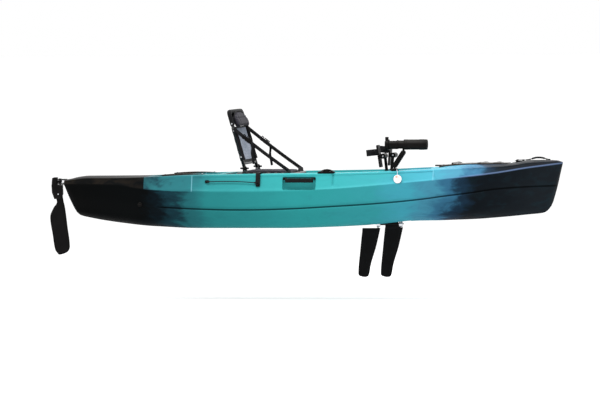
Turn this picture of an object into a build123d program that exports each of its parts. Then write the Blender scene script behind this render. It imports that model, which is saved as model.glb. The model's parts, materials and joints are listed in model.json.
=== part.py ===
from build123d import *
import os
from math import cos, radians, sin, tan

os.makedirs("parts", exist_ok=True)

# Frame: +X to the bow, +Y to port, +Z up. Origin on the keel line, amidships.
# All lengths are in millimetres.

WALL = 4.2  # moulded hull wall
SINK = 3.0  # how far feet and flanges bed into the hull skin
RUN = 0.05  # radial clearance of a running fit
ABOVE = 560.0  # a height clear above the deck
BELOW = -50.0  # a height clear below the keel

# Hull stations: x, keel z, crease z, rim z, centre-line deck z, half breadth at the crease,
# lean of the side above the crease, and V (0 is a flat bottom with round bilges, 1 a sharp V).
STATIONS = [
    (-1846, 316, 326, 350, 357, 70, 6, 0.3),
    (-1802, 201, 328, 356, 364, 100, 9, 0.3),
    (-1743, 99, 330, 364, 378, 128, 12, 0.3),
    (-1666, 78, 330, 372, 386, 165, 14, 0.3),
    (-1402, 36, 326, 376, 386, 256, 18, 0.2),
    (-1215, 16, 297, 382, 386, 308, 22, 0.1),
    (-1165, 13, 294, 384, 386, 318, 24, 0.1),
    (-850, 0, 288, 398, 400, 375, 26, 0.0),
    (-540, 0, 283, 404, 406, 405, 26, 0.0),
    (-200, 0, 289, 408, 411, 418, 26, 0.0),
    (137, 9, 297, 412, 416, 416, 26, 0.0),
    (480, 27, 321, 418, 424, 395, 25, 0.1),
    (781, 54, 347, 428, 440, 362, 24, 0.2),
    (929, 56, 360, 434, 446, 333, 24, 0.25),
    (1040, 60, 371, 438, 464, 308, 24, 0.3),
    (1202, 66, 386, 444, 476, 267, 26, 0.4),
    (1390, 80, 410, 452, 476, 216, 26, 0.55),
    (1500, 90, 426, 462, 480, 182, 24, 0.65),
    (1587, 99, 441, 476, 494, 152, 20, 0.7),
    (1700, 112, 455, 484, 495, 112, 16, 0.75),
    (1755, 161, 462, 486, 494, 88, 13, 0.75),
    (1795, 280, 467, 487, 492, 62, 9, 0.7),
    (1838, 464, 472, 478, 480, 22, 3, 0.5),
]

# Wells moulded into the deck
SEAT_WELL = dict(rear=-610.0, front=-95.0, half=212.0, floor=165.0)
SEAT_LEDGE = dict(rear=-612.0, front=-60.0, half=286.0, floor=378.0)
TANKWELL = dict(rear=-1165.0, front=-660.0, half=204.0, floor=215.0)
COCKPIT = dict(rear=-97.0, front=900.0, half=300.0, floor=300.0)
FOOTWELL_FLOOR = 120.0
CONSOLE_HALF = 80.0
DRIVE_WELL = dict(rear=425.0, front=730.0, half=50.0)
HATCH = dict(rear=950.0, front=1478.0, rear_half=166.0, front_half=100.0, floor=425.0)
HANDLE_RECESS = dict(x=-32.0, length=244.0, bottom=290.0, top=386.0, inner=372.0)
SCUPPER_R = 16.0
SCUPPERS = [(-900.0, 150.0), (120.0, 190.0)]

# Pedal drive
DRIVE_X = 565.0
CRANK_Z = 345.0
CRANK_LEAN = 6.0  # the starboard crank leans aft and the port one forward at rest
SHAFT_R = 5.0
MAST_Z = 30.0
MASTS = {"rear": 485.0, "front": 651.0}
PEDAL_Z = 530.0
PEDAL_IN = 76.0
PEDAL_OUT = 176.0

# Rudder
RUDDER_X = -1888.0
RUDDER_TOP = 374.0
BLADE_PIVOT = (-1900.0, 250.0)

# Seat
SEAT_HALF = 246.0
SEAT_TUBE = 12.5
BACK_PIVOT = (-456.0, 430.0)
BACK_LEAN = 15.5
BACK_HEIGHT = 454.0

# Steering lever and rod holder
LEVER = (163.0, -364.0)
ROD_BASE = (654.0, -300.0)


def section_points(station, inset=0.0):
    """Closed outline of the hull at a station, port side first, inset by a wall."""
    _, keel, crease, rim, crown, half, lean, vee = station
    depth = crease - keel
    flat = [(0.42, 0.02, 0.17), (0.72, 0.09, 0.37), (0.90, 0.28, 0.60), (0.985, 0.60, 0.82)]
    port = [(0.0, keel + inset)]
    for across, round_up, vee_up in flat:
        up = round_up + (vee_up - round_up) * vee
        port.append((across * (half - inset), keel + inset + up * (depth - inset)))
    shoulder = half - lean
    port.append((half - inset, crease))
    port.append((shoulder - inset, rim - 8.0 - inset * 0.5))
    port.append((shoulder - 14.0 - inset, rim - inset))
    port.append((0.5 * shoulder - inset, rim - inset + 0.75 * (crown - rim)))
    port.append((0.0, crown - inset))
    starboard = [(-y, z) for y, z in port[-2:0:-1]]
    return port + starboard


def extrude_outline(plane, points, amount, mode=Mode.ADD, both=False, round_by=0.0):
    """Extrude a closed straight-sided outline in the current part."""
    with BuildSketch(plane) as outline:
        with BuildLine():
            Polyline(*points, close=True)
        make_face()
        if round_by:
            fillet(outline.vertices(), round_by)
    return extrude(outline.sketch, amount=amount, mode=mode, both=both)


def bar(start, end, radius, mode=Mode.ADD):
    """Round bar between two points in the current part."""
    along = Vector(*end) - Vector(*start)
    with BuildSketch(Plane(origin=start, z_dir=along)) as disc:
        Circle(radius)
    return extrude(disc.sketch, amount=along.length, mode=mode)


def block(low, high, mode=Mode.ADD):
    """Rectangular block between two corners in the current part."""
    size = [b - a for a, b in zip(low, high)]
    middle = [(a + b) / 2 for a, b in zip(low, high)]
    with Locations(Location(tuple(middle))):
        return Box(*size, mode=mode)


def rectangle(rear, front, half):
    """Corner points of a plan rectangle about the centre line."""
    return [(rear, -half), (front, -half), (front, half), (rear, half)]


def finish(piece, name):
    """Label a finished piece and write its file."""
    piece.part.label = name
    export_step(piece.part, f"parts/{name}.step")


def hull_half(x, level):
    """Half breadth of the hull side at a height above the crease."""
    for rear, front in zip(STATIONS, STATIONS[1:]):
        if rear[0] <= x <= front[0]:
            t = (x - rear[0]) / (front[0] - rear[0])
            _, _, crease, rim, _, half, lean, _ = [a + (b - a) * t for a, b in zip(rear, front)]
            return half - lean * (level - crease) / (rim - 8.0 - crease)
    return 0.0


# ---------------------------------------------------------------- hull


def loft_hull(stations, inset=0.0):
    """Loft through the stations in the current part."""
    sketches = []
    for station in stations:
        with BuildSketch(Plane.YZ.offset(station[0])) as frame:
            with BuildLine():
                Polyline(*section_points(station, inset), close=True)
            make_face()
        sketches.append(frame.sketch)
    loft(sketches, ruled=True)


def cut_wells(grow):
    """Cut every well from the current part, each one larger by grow all round."""
    plans = [
        (rectangle(SEAT_WELL["rear"], SEAT_WELL["front"], SEAT_WELL["half"]), SEAT_WELL["floor"]),
        (rectangle(SEAT_LEDGE["rear"], SEAT_LEDGE["front"], SEAT_LEDGE["half"]), SEAT_LEDGE["floor"]),
        (tankwell_plan(), TANKWELL["floor"]),
        (cockpit_plan(), COCKPIT["floor"]),
        (footwell_plan(1), FOOTWELL_FLOOR),
        (footwell_plan(-1), FOOTWELL_FLOOR),
        (hatch_plan(0.0), HATCH["floor"]),
    ]
    for plan, floor in plans:
        with BuildSketch(Plane.XY.offset(floor - grow)) as well:
            with BuildLine():
                Polyline(*plan, close=True)
            make_face()
            fillet(well.vertices(), 30.0)
            if grow:
                offset(amount=grow)
        extrude(well.sketch, amount=ABOVE - floor + grow, mode=Mode.SUBTRACT)
    slot = rectangle(DRIVE_WELL["rear"] - grow, DRIVE_WELL["front"] + grow, DRIVE_WELL["half"] + grow)
    extrude_outline(Plane.XY.offset(BELOW), slot, ABOVE, Mode.SUBTRACT, round_by=20.0)
    for x, y in SCUPPERS:
        for side in (1, -1):
            bar((x, side * y, BELOW), (x, side * y, ABOVE), SCUPPER_R + grow, Mode.SUBTRACT)
    recess = HANDLE_RECESS
    reach = recess["length"] / 2 + grow
    for side in (1, -1):
        inner = side * (recess["inner"] - grow)
        outer = side * 450.0
        block(
            (recess["x"] - reach, min(inner, outer), recess["bottom"] - grow),
            (recess["x"] + reach, max(inner, outer), recess["top"] + grow),
            Mode.SUBTRACT,
        )


def tankwell_plan():
    well = TANKWELL
    taper = well["half"] - 28.0
    return [(well["rear"], -taper), (well["front"], -well["half"]),
            (well["front"], well["half"]), (well["rear"], taper)]


def cockpit_plan():
    well = COCKPIT
    bow_half = 226.0
    bend = 420.0
    return [(well["rear"], -well["half"]), (bend, -well["half"]), (well["front"], -bow_half),
            (well["front"], bow_half), (bend, well["half"]), (well["rear"], well["half"])]


def footwell_plan(side):
    inner, outer, bow = CONSOLE_HALF, 286.0, 216.0
    points = [(-97.0, inner), (880.0, inner), (880.0, bow), (420.0, outer), (-97.0, outer)]
    return [(x, side * y) for x, y in points]


def hatch_plan(inset):
    lid = HATCH
    rear, front = lid["rear"] + inset, lid["front"] - inset
    return [(rear, -lid["rear_half"] + inset), (front, -lid["front_half"] + inset),
            (front, lid["front_half"] - inset), (rear, lid["rear_half"] - inset)]


with BuildPart() as void:
    loft_hull([(x + 9.0 if x < 0 else x - 9.0, *rest) for x, *rest in STATIONS[1:-1]], WALL)
    cut_wells(WALL)

CABLE_EXITS = [(-30.0, 337.0), (30.0, 337.0)]
CABLE_R = 2.0
LEVER_SHAFT_R = 8.0
DRAIN = (-1228.0, 183.0)

with BuildPart() as hull:
    loft_hull(STATIONS)
    add(void.part, mode=Mode.SUBTRACT)
    cut_wells(0.0)
    with BuildSketch(Plane.XY.offset(HATCH["floor"] - 20.0)) as opening:
        with BuildLine():
            Polyline(*hatch_plan(46.0), close=True)
        make_face()
        fillet(opening.vertices(), 40.0)
    extrude(opening.sketch, amount=40.0, mode=Mode.SUBTRACT)
    for y, z in CABLE_EXITS:
        bar((-1900.0, y, z), (-1780.0, y, z), CABLE_R + 1.5, Mode.SUBTRACT)
    bar((*LEVER, 370.0), (*LEVER, 430.0), LEVER_SHAFT_R + 1.0, Mode.SUBTRACT)
    bar((DRAIN[0], -250.0, DRAIN[1]), (DRAIN[0], -340.0, DRAIN[1]), 12.0, Mode.SUBTRACT)
finish(hull, "hull")

with BuildPart() as drain_plug:
    bar((DRAIN[0], -262.0, DRAIN[1]), (DRAIN[0], -302.0, DRAIN[1]), 11.8)
    bar((DRAIN[0], -302.0, DRAIN[1]), (DRAIN[0], -309.0, DRAIN[1]), 16.0)
finish(drain_plug, "drain_plug")

# ---------------------------------------------------------------- deck fittings

RAIL = dict(rear=-1075.0, front=-755.0, y=232.0, bottom=385.0, top=399.0)

with BuildPart() as rails:
    for side in (1, -1):
        y = side * RAIL["y"]
        with BuildSketch(Plane.XZ.offset(-y)) as profile:
            with BuildLine():
                Polyline((RAIL["rear"], RAIL["bottom"]), (RAIL["front"], RAIL["bottom"] + 6.0),
                         (RAIL["front"], RAIL["top"] + 4.0))
                ThreePointArc((RAIL["front"], RAIL["top"] + 4.0), (-915.0, RAIL["top"] + 9.0),
                              (RAIL["rear"], RAIL["top"]))
                Line((RAIL["rear"], RAIL["top"]), (RAIL["rear"], RAIL["bottom"]))
            make_face()
        extrude(profile.sketch, amount=14.0, both=True)
        for x in (RAIL["rear"] + 20.0, RAIL["front"] - 20.0):
            bar((x, y, 360.0), (x, y, 420.0), 3.1, Mode.SUBTRACT)
finish(rails, "rear_rails")


def strap_handle(rear, front, foot, rise, width):
    """Arched carry handle with a flat foot at each end, in the current part."""
    middle = (rear + front) / 2
    with BuildSketch(Plane.XZ) as arch:
        with BuildLine():
            ThreePointArc((rear + 22.0, foot), (middle, foot + rise), (front - 22.0, foot))
            Line((front - 22.0, foot), (front - 30.0, foot))
            ThreePointArc((front - 30.0, foot), (middle, foot + rise - 7.0), (rear + 30.0, foot))
            Line((rear + 30.0, foot), (rear + 22.0, foot))
        make_face()
    extrude(arch.sketch, amount=width / 2, both=True)
    block((rear, -width / 2, foot - 8.0), (rear + 34.0, width / 2, foot + 4.0))
    block((front - 34.0, -width / 2, foot - 8.0), (front, width / 2, foot + 4.0))


BOW_HANDLE = dict(rear=1586.0, front=1734.0, foot=492.0)

with BuildPart() as bow_handle:
    strap_handle(BOW_HANDLE["rear"], BOW_HANDLE["front"], BOW_HANDLE["foot"], 21.0, 26.0)
    for x in (BOW_HANDLE["rear"] + 11.0, BOW_HANDLE["front"] - 11.0):
        bar((x, 0.0, 470.0), (x, 0.0, 510.0), 3.1, Mode.SUBTRACT)
finish(bow_handle, "bow_handle")


def deck_screw(x, y, top):
    """Pan-head deck screw, head down on top, in the current part."""
    bar((x, y, top - 24.0), (x, y, top), 3.0)
    bar((x, y, top), (x, y, top + 3.0), 6.0)


with BuildPart() as deck_screws:
    for side in (1, -1):
        deck_screw(RAIL["rear"] + 20.0, side * RAIL["y"], 402.6)
        deck_screw(RAIL["front"] - 20.0, side * RAIL["y"], 406.2)
    for x in (BOW_HANDLE["rear"] + 11.0, BOW_HANDLE["front"] - 11.0):
        deck_screw(x, 0.0, BOW_HANDLE["foot"] + 4.2)
finish(deck_screws, "deck_screws")

GRIP = dict(rear=-140.0, front=76.0, z=360.0, pivot_z=373.0)
GRIP_Y = 398.0
PIVOT_Y = 396.0


def side_handle_grip(side):
    """Moulded grip bar with two short arms bored for the pivot pins."""
    with BuildPart() as grip:
        with BuildSketch(Plane.YZ.offset(GRIP["rear"] + 6.0)) as oval:
            with Locations((side * GRIP_Y, GRIP["z"])):
                RectangleRounded(18.0, 30.0, 8.0)
        extrude(oval.sketch, amount=GRIP["front"] - GRIP["rear"] - 12.0)
        for x in (GRIP["rear"] + 6.0, GRIP["front"] - 18.0):
            bar((x, side * PIVOT_Y, GRIP["pivot_z"]), (x + 12.0, side * PIVOT_Y, GRIP["pivot_z"]), 8.0)
            bar((x - 1.0, side * PIVOT_Y, GRIP["pivot_z"]),
                (x + 13.0, side * PIVOT_Y, GRIP["pivot_z"]), 3.0 + RUN, Mode.SUBTRACT)
    return grip


for side_name, side in (("port", 1), ("starboard", -1)):
    finish(side_handle_grip(side), f"side_handle_{side_name}")

with BuildPart() as side_handle_brackets:
    for side in (1, -1):
        inner, outer = sorted((side * (HANDLE_RECESS["inner"] - SINK), side * (PIVOT_Y + 8.0)))
        for x, pin in ((GRIP["rear"] - 10.0, 26.0), (GRIP["front"] + 1.0, -17.0)):
            block((x, inner, GRIP["pivot_z"] - 9.0), (x + 9.0, outer, GRIP["pivot_z"] + 8.0))
            start = x if pin > 0 else x + 9.0
            bar((start, side * PIVOT_Y, GRIP["pivot_z"]),
                (start + pin, side * PIVOT_Y, GRIP["pivot_z"]), 3.0)
finish(side_handle_brackets, "side_handle_brackets")

PAD_EYES = [(-715.0, 352.0), (-334.0, 326.0)]

with BuildPart() as pad_eyes:
    for x, z in PAD_EYES:
        for side in (1, -1):
            y = hull_half(x, z)
            with BuildSketch(Plane.XZ.offset(-side * (y - SINK))) as foot:
                with Locations((x, z)):
                    RectangleRounded(30.0, 20.0, 6.0)
            extrude(foot.sketch, amount=-side * 8.0)
            with BuildSketch(Plane.YZ.offset(x)) as loop:
                with Locations((side * (y + 6.0), z)):
                    Circle(8.0)
                    Circle(4.0, mode=Mode.SUBTRACT)
            extrude(loop.sketch, amount=3.0, both=True)
finish(pad_eyes, "pad_eyes")

BUNGEE_R = 3.0
BUNGEE_SPAN = [(-703.0, 354.0), (-530.0, 354.0), (-354.0, 345.0)]


def paddle_bungee(side):
    """Shock cord lying along the hull side between two pad eyes."""
    points = [(x, side * (hull_half(x, z) + 7.0), z) for x, z in BUNGEE_SPAN]
    with BuildLine() as route:
        FilletPolyline(*points, radius=900.0)
    with BuildSketch(Plane(origin=route.line @ 0, z_dir=route.line % 0)) as cord:
        Circle(BUNGEE_R)
    sweep(cord.sketch, path=route.line)


with BuildPart() as paddle_bungees:
    paddle_bungee(1)
    paddle_bungee(-1)
finish(paddle_bungees, "paddle_bungees")

with BuildPart() as tie_straps:
    for side in (1, -1):
        over = [(262.0, 404.0), (300.0, 418.0), (378.0, 418.0), (394.0, 408.0), (412.0, 336.0)]
        under = [(409.5, 335.0), (391.5, 406.5), (376.5, 415.5), (301.0, 415.5), (262.0, 401.5)]
        points = [(side * y, z) for y, z in over + under]
        extrude_outline(Plane.YZ.offset(-334.0), points, 17.0, both=True)
finish(tie_straps, "tie_straps")

# ---------------------------------------------------------------- front hatch

HATCH_PIN = (1464.0, 462.0)
LID_GAP = 3.0
LID_BOTTOM = 434.0
LID_FRONT = HATCH["front"] - 30.0
LID_RIBS = [(1040.0, 1077.0), (1225.0, 1291.0), (1340.0, 1399.0)]


def lid_half(x, inset=0.0):
    """Half breadth of the lid at x."""
    t = (x - HATCH["rear"]) / (HATCH["front"] - HATCH["rear"])
    return HATCH["rear_half"] + (HATCH["front_half"] - HATCH["rear_half"]) * t - LID_GAP - inset


lid_rear = HATCH["rear"] + LID_GAP
lid_outline = [(lid_rear, -lid_half(lid_rear)), (LID_FRONT, -lid_half(LID_FRONT)),
               (LID_FRONT, lid_half(LID_FRONT)), (lid_rear, lid_half(lid_rear))]


def crown_lid(drop):
    """Trim the current part to the lid's crowned side view, lowered by drop."""
    with BuildSketch(Plane.XZ) as side_view:
        with BuildLine():
            Spline((900.0, 452.0 - drop), (1060.0, 468.0 - drop), (1240.0, 475.0 - drop), (1500.0, 475.0 - drop))
            Polyline((1500.0, 475.0 - drop), (1500.0, 400.0), (900.0, 400.0), (900.0, 452.0 - drop))
        make_face()
    extrude(side_view.sketch, amount=250.0, both=True, mode=Mode.INTERSECT)


with BuildPart() as lid_hollow:
    rear, front = lid_rear + 34.0, LID_FRONT - 14.0
    inner = [(rear, -lid_half(rear, 14.0)), (front, -lid_half(front, 14.0)),
             (front, lid_half(front, 14.0)), (rear, lid_half(rear, 14.0))]
    extrude_outline(Plane.XY.offset(LID_BOTTOM - 1.0), inner, 60.0, round_by=20.0)
    crown_lid(6.0)

with BuildPart() as hatch_lid:
    extrude_outline(Plane.XY.offset(LID_BOTTOM), lid_outline, 60.0, round_by=27.0)
    crown_lid(0.0)
    add(lid_hollow.part, mode=Mode.SUBTRACT)
    for rear, front in LID_RIBS:
        half = lid_half(front, 30.0)
        with BuildSketch(Plane.XY.offset(466.0)) as rib:
            with Locations(((rear + front) / 2, 0.0)):
                RectangleRounded(front - rear, 2 * half, 16.0)
        extrude(rib.sketch, amount=13.0)
    block((LID_FRONT - 6.0, -30.0, 450.0), (HATCH_PIN[0], 30.0, 470.0))
    bar((HATCH_PIN[0], -30.0, HATCH_PIN[1]), (HATCH_PIN[0], 30.0, HATCH_PIN[1]), 8.5)
    bar((HATCH_PIN[0], -31.0, HATCH_PIN[1]), (HATCH_PIN[0], 31.0, HATCH_PIN[1]), 4.0 + RUN, Mode.SUBTRACT)
    latch_slot = ((lid_rear - 1.0, -34.0, 446.0), (lid_rear + 26.0, 34.0, 470.0))
    block(*latch_slot, Mode.SUBTRACT)
finish(hatch_lid, "hatch_lid")

with BuildPart() as hatch_seal:
    with BuildSketch(Plane.XY.offset(HATCH["floor"])) as ring:
        with BuildLine():
            Polyline(*hatch_plan(34.0), close=True)
        make_face()
        fillet(ring.vertices(), 40.0)
        offset(amount=-9.0, mode=Mode.SUBTRACT)
    extrude(ring.sketch, amount=8.5)
finish(hatch_seal, "hatch_seal")

with BuildPart() as hatch_hinge:
    for y in (-44.0, 31.0):
        block((HATCH_PIN[0] - 9.0, y, HATCH["floor"]), (HATCH["front"] + SINK, y + 13.0, HATCH_PIN[1] + 9.0))
        bar((HATCH_PIN[0], y - 1.0, HATCH_PIN[1]), (HATCH_PIN[0], y + 14.0, HATCH_PIN[1]), 4.0, Mode.SUBTRACT)
finish(hatch_hinge, "hatch_hinge")

LATCH_PIN = (966.0, 457.0)

with BuildPart() as hatch_latch:
    block((908.0, -29.0, 452.0), (968.0, 29.0, 461.0))
    bar((LATCH_PIN[0], -29.0, LATCH_PIN[1]), (LATCH_PIN[0], 29.0, LATCH_PIN[1]), 6.5)
    bar((LATCH_PIN[0], -30.0, LATCH_PIN[1]), (LATCH_PIN[0], 30.0, LATCH_PIN[1]), 3.0 + RUN, Mode.SUBTRACT)
finish(hatch_latch, "hatch_latch")

with BuildPart() as latch_pin:
    bar((LATCH_PIN[0], -46.0, LATCH_PIN[1]), (LATCH_PIN[0], 46.0, LATCH_PIN[1]), 3.0)
finish(latch_pin, "latch_pin")

# ---------------------------------------------------------------- steering and rudder

with BuildPart() as steering_base:
    with BuildSketch(Plane.XY.offset(411.0)) as foot:
        with Locations(LEVER):
            RectangleRounded(124.0, 52.0, 10.0)
    extrude(foot.sketch, amount=13.0)
    bar((*LEVER, 400.0), (*LEVER, 430.0), LEVER_SHAFT_R + RUN, Mode.SUBTRACT)
finish(steering_base, "steering_base")

with BuildPart() as steering_lever:
    bar((*LEVER, 376.0), (*LEVER, 430.0), LEVER_SHAFT_R)
    bar((*LEVER, 424.5), (*LEVER, 431.0), 20.0)
    with BuildSketch(Plane.XZ.offset(-LEVER[1])) as arch:
        with BuildLine():
            ThreePointArc((LEVER[0] - 46.0, 425.0), (LEVER[0] + 4.0, 441.0), (LEVER[0] + 56.0, 425.0))
            Line((LEVER[0] + 56.0, 425.0), (LEVER[0] - 46.0, 425.0))
        make_face()
    extrude(arch.sketch, amount=9.0, both=True)
finish(steering_lever, "steering_lever")

with BuildPart() as steering_pulley:
    bar((*LEVER, 378.0), (*LEVER, 390.0), 20.0)
    bar((*LEVER, 370.0), (*LEVER, 400.0), LEVER_SHAFT_R + 0.01, Mode.SUBTRACT)
finish(steering_pulley, "steering_pulley")

CABLE_ROUTE = [(138.0, -366.0, 384.0), (-180.0, -352.0, 362.0), (-640.0, -342.0, 345.0),
               (-1180.0, -262.0, 338.0), (-1560.0, -120.0, 337.0), (-1780.0, -30.0, 337.0),
               (-1872.0, -30.0, 337.0)]

with BuildPart() as steering_cables:
    for shift, crossing in ((0.0, 0.0), (14.0, 60.0)):
        points = [(x, y + shift, z) for x, y, z in CABLE_ROUTE[:-2]]
        points += [(x, y + crossing, z) for x, y, z in CABLE_ROUTE[-2:]]
        with BuildLine() as route:
            FilletPolyline(*points, radius=[400.0, 900.0, 700.0, 400.0, 120.0])
        with BuildSketch(Plane(origin=route.line @ 0, z_dir=route.line % 0)) as cable:
            Circle(CABLE_R)
        sweep(cable.sketch, path=route.line)
finish(steering_cables, "steering_cables")

with BuildPart() as rudder_bracket:
    block((-1866.0, -24.0, 320.0), (-1838.0, 24.0, 362.0))
    for low in (320.0, 353.0):
        block((RUDDER_X, -15.0, low), (-1850.0, 15.0, low + 9.0))
        bar((RUDDER_X, 0.0, low), (RUDDER_X, 0.0, low + 9.0), 15.0)
    block((-1887.0, -30.0, 329.3), (-1849.0, 30.0, 352.7), Mode.SUBTRACT)
    bar((RUDDER_X, 0.0, 300.0), (RUDDER_X, 0.0, 380.0), SHAFT_R, Mode.SUBTRACT)
    block((-1852.0, -24.0, 320.0), (-1838.0, 24.0, 362.0))
finish(rudder_bracket, "rudder_bracket")

with BuildPart() as rudder_pin:
    bar((RUDDER_X, 0.0, 314.0), (RUDDER_X, 0.0, 365.0), SHAFT_R)
    bar((RUDDER_X, 0.0, 362.0), (RUDDER_X, 0.0, 368.0), 9.0)
finish(rudder_pin, "rudder_pin")

HEAD_SIDE = [(-1951.0, 300.0), (-1946.0, RUDDER_TOP - 6.0), (-1930.0, RUDDER_TOP),
             (-1907.0, RUDDER_TOP), (-1907.0, 300.0)]
CHEEK_SIDE = [(-1951.0, 318.0), (-1870.0, 318.0), (-1868.0, 250.0), (-1884.0, 214.0), (-1930.0, 214.0),
              (-1948.0, 262.0)]

with BuildPart() as rudder_head:
    extrude_outline(Plane.XZ, HEAD_SIDE, 17.0, both=True)
    extrude_outline(Plane.XZ, CHEEK_SIDE, 17.0, both=True)
    bar((RUDDER_X, 0.0, 330.0), (RUDDER_X, 0.0, 352.0), 14.0)
    block((-1912.0, -10.0, 330.0), (RUDDER_X, 10.0, 352.0))
    bar((RUDDER_X, 0.0, 300.0), (RUDDER_X, 0.0, 360.0), SHAFT_R + RUN, Mode.SUBTRACT)
    block((-1920.0, -46.0, 332.0), (-1909.0, 46.0, 348.0))
    block((-1960.0, -8.6, 205.0), (-1860.0, 8.6, 290.0), Mode.SUBTRACT)
    bar((BLADE_PIVOT[0], -20.0, BLADE_PIVOT[1]), (BLADE_PIVOT[0], 20.0, BLADE_PIVOT[1]),
        SHAFT_R, Mode.SUBTRACT)
finish(rudder_head, "rudder_head")

with BuildPart() as blade_pin:
    bar((BLADE_PIVOT[0], -20.0, BLADE_PIVOT[1]), (BLADE_PIVOT[0], 20.0, BLADE_PIVOT[1]), SHAFT_R)
finish(blade_pin, "blade_pin")

with BuildPart() as rudder_blade:
    with BuildSketch(Plane.XZ) as outline:
        with BuildLine():
            Spline((-1926.0, 246.0), (-1914.0, 190.0), (-1940.0, 150.0), (-1966.0, 80.0),
                   (-1948.0, -50.0), (-1929.0, -163.0), (-1904.0, -196.0))
            Spline((-1904.0, -196.0), (-1866.0, -190.0), (-1831.0, -171.0), (-1819.0, -137.0))
            Spline((-1819.0, -137.0), (-1836.0, 15.0), (-1853.0, 150.0), (-1866.0, 210.0), (-1870.0, 240.0))
            ThreePointArc((-1870.0, 240.0), (-1898.0, 281.0), (-1926.0, 246.0))
        make_face()
    extrude(outline.sketch, amount=8.0, both=True)
    bar((BLADE_PIVOT[0], -20.0, BLADE_PIVOT[1]), (BLADE_PIVOT[0], 20.0, BLADE_PIVOT[1]),
        SHAFT_R + RUN, Mode.SUBTRACT)
finish(rudder_blade, "rudder_blade")

# ---------------------------------------------------------------- pedal drive

FLANGE_HALF = 77.0
LATCH_POST = (724.0, 65.0)

with BuildPart() as drive_spine:
    block((416.0, -FLANGE_HALF, 300.3), (744.0, FLANGE_HALF, 309.0))
    for side in (1, -1):
        y_low, y_high = sorted((side * 22.0, side * 48.0))
        block((470.0, y_low, 299.0), (690.0, y_high, 310.0), Mode.SUBTRACT)
    block((500.0, -18.0, 44.0), (630.0, 18.0, 300.5))
    with BuildSketch(Plane.XZ) as hump:
        with BuildLine():
            Polyline((440.0, 305.0), (700.0, 305.0), (690.0, 332.0), (606.0, 376.0))
            Spline((606.0, 376.0), (DRIVE_X, 386.0), (520.0, 372.0))
            Polyline((520.0, 372.0), (450.0, 332.0), (440.0, 305.0))
        make_face()
    extrude(hump.sketch, amount=20.0, both=True)
    block((505.0, -5.0, MAST_Z), (630.0, 5.0, 46.0))
    bar((500.0, 0.0, MAST_Z), (636.0, 0.0, MAST_Z), 9.5)
    bar((400.0, 0.0, MAST_Z), (760.0, 0.0, MAST_Z), SHAFT_R + 0.01, Mode.SUBTRACT)
    bar((DRIVE_X, -30.0, CRANK_Z), (DRIVE_X, 30.0, CRANK_Z), 10.0, Mode.SUBTRACT)
    for side in (1, -1):
        x, y = LATCH_POST[0], side * LATCH_POST[1]
        bar((x, y, 305.0), (x, y, 324.0), 4.0)
        bar((x, y, 318.0), (x, y, 322.0), 8.0)
finish(drive_spine, "drive_spine")

with BuildPart() as drive_shafts:
    bar((DRIVE_X, -78.0, CRANK_Z), (DRIVE_X, 78.0, CRANK_Z), 10.0)
    bar((464.0, 0.0, MAST_Z), (672.0, 0.0, MAST_Z), SHAFT_R)
finish(drive_shafts, "drive_shafts")

with BuildPart() as drive_cables:
    for mast, top in ((MASTS["rear"], DRIVE_X - 36.0), (MASTS["front"], DRIVE_X + 36.0)):
        for y in (-1.0, 1.0):
            bar((mast, y * 27.0, 42.0), (top, y * 36.0, CRANK_Z), 2.5)
finish(drive_cables, "drive_cables")


def leaned(piece, side):
    """Turn a crank-side piece about the crank shaft to its lean at rest."""
    turn = Rotation(0, side * CRANK_LEAN, 0)
    centre = Pos(DRIVE_X, 0, CRANK_Z)
    return centre * turn * centre.inverse() * piece


def write_leaned(piece, side, name):
    """Write a crank-side piece at its lean."""
    shape = leaned(piece.part, side)
    shape.label = name
    export_step(shape, f"parts/{name}.step")


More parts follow.
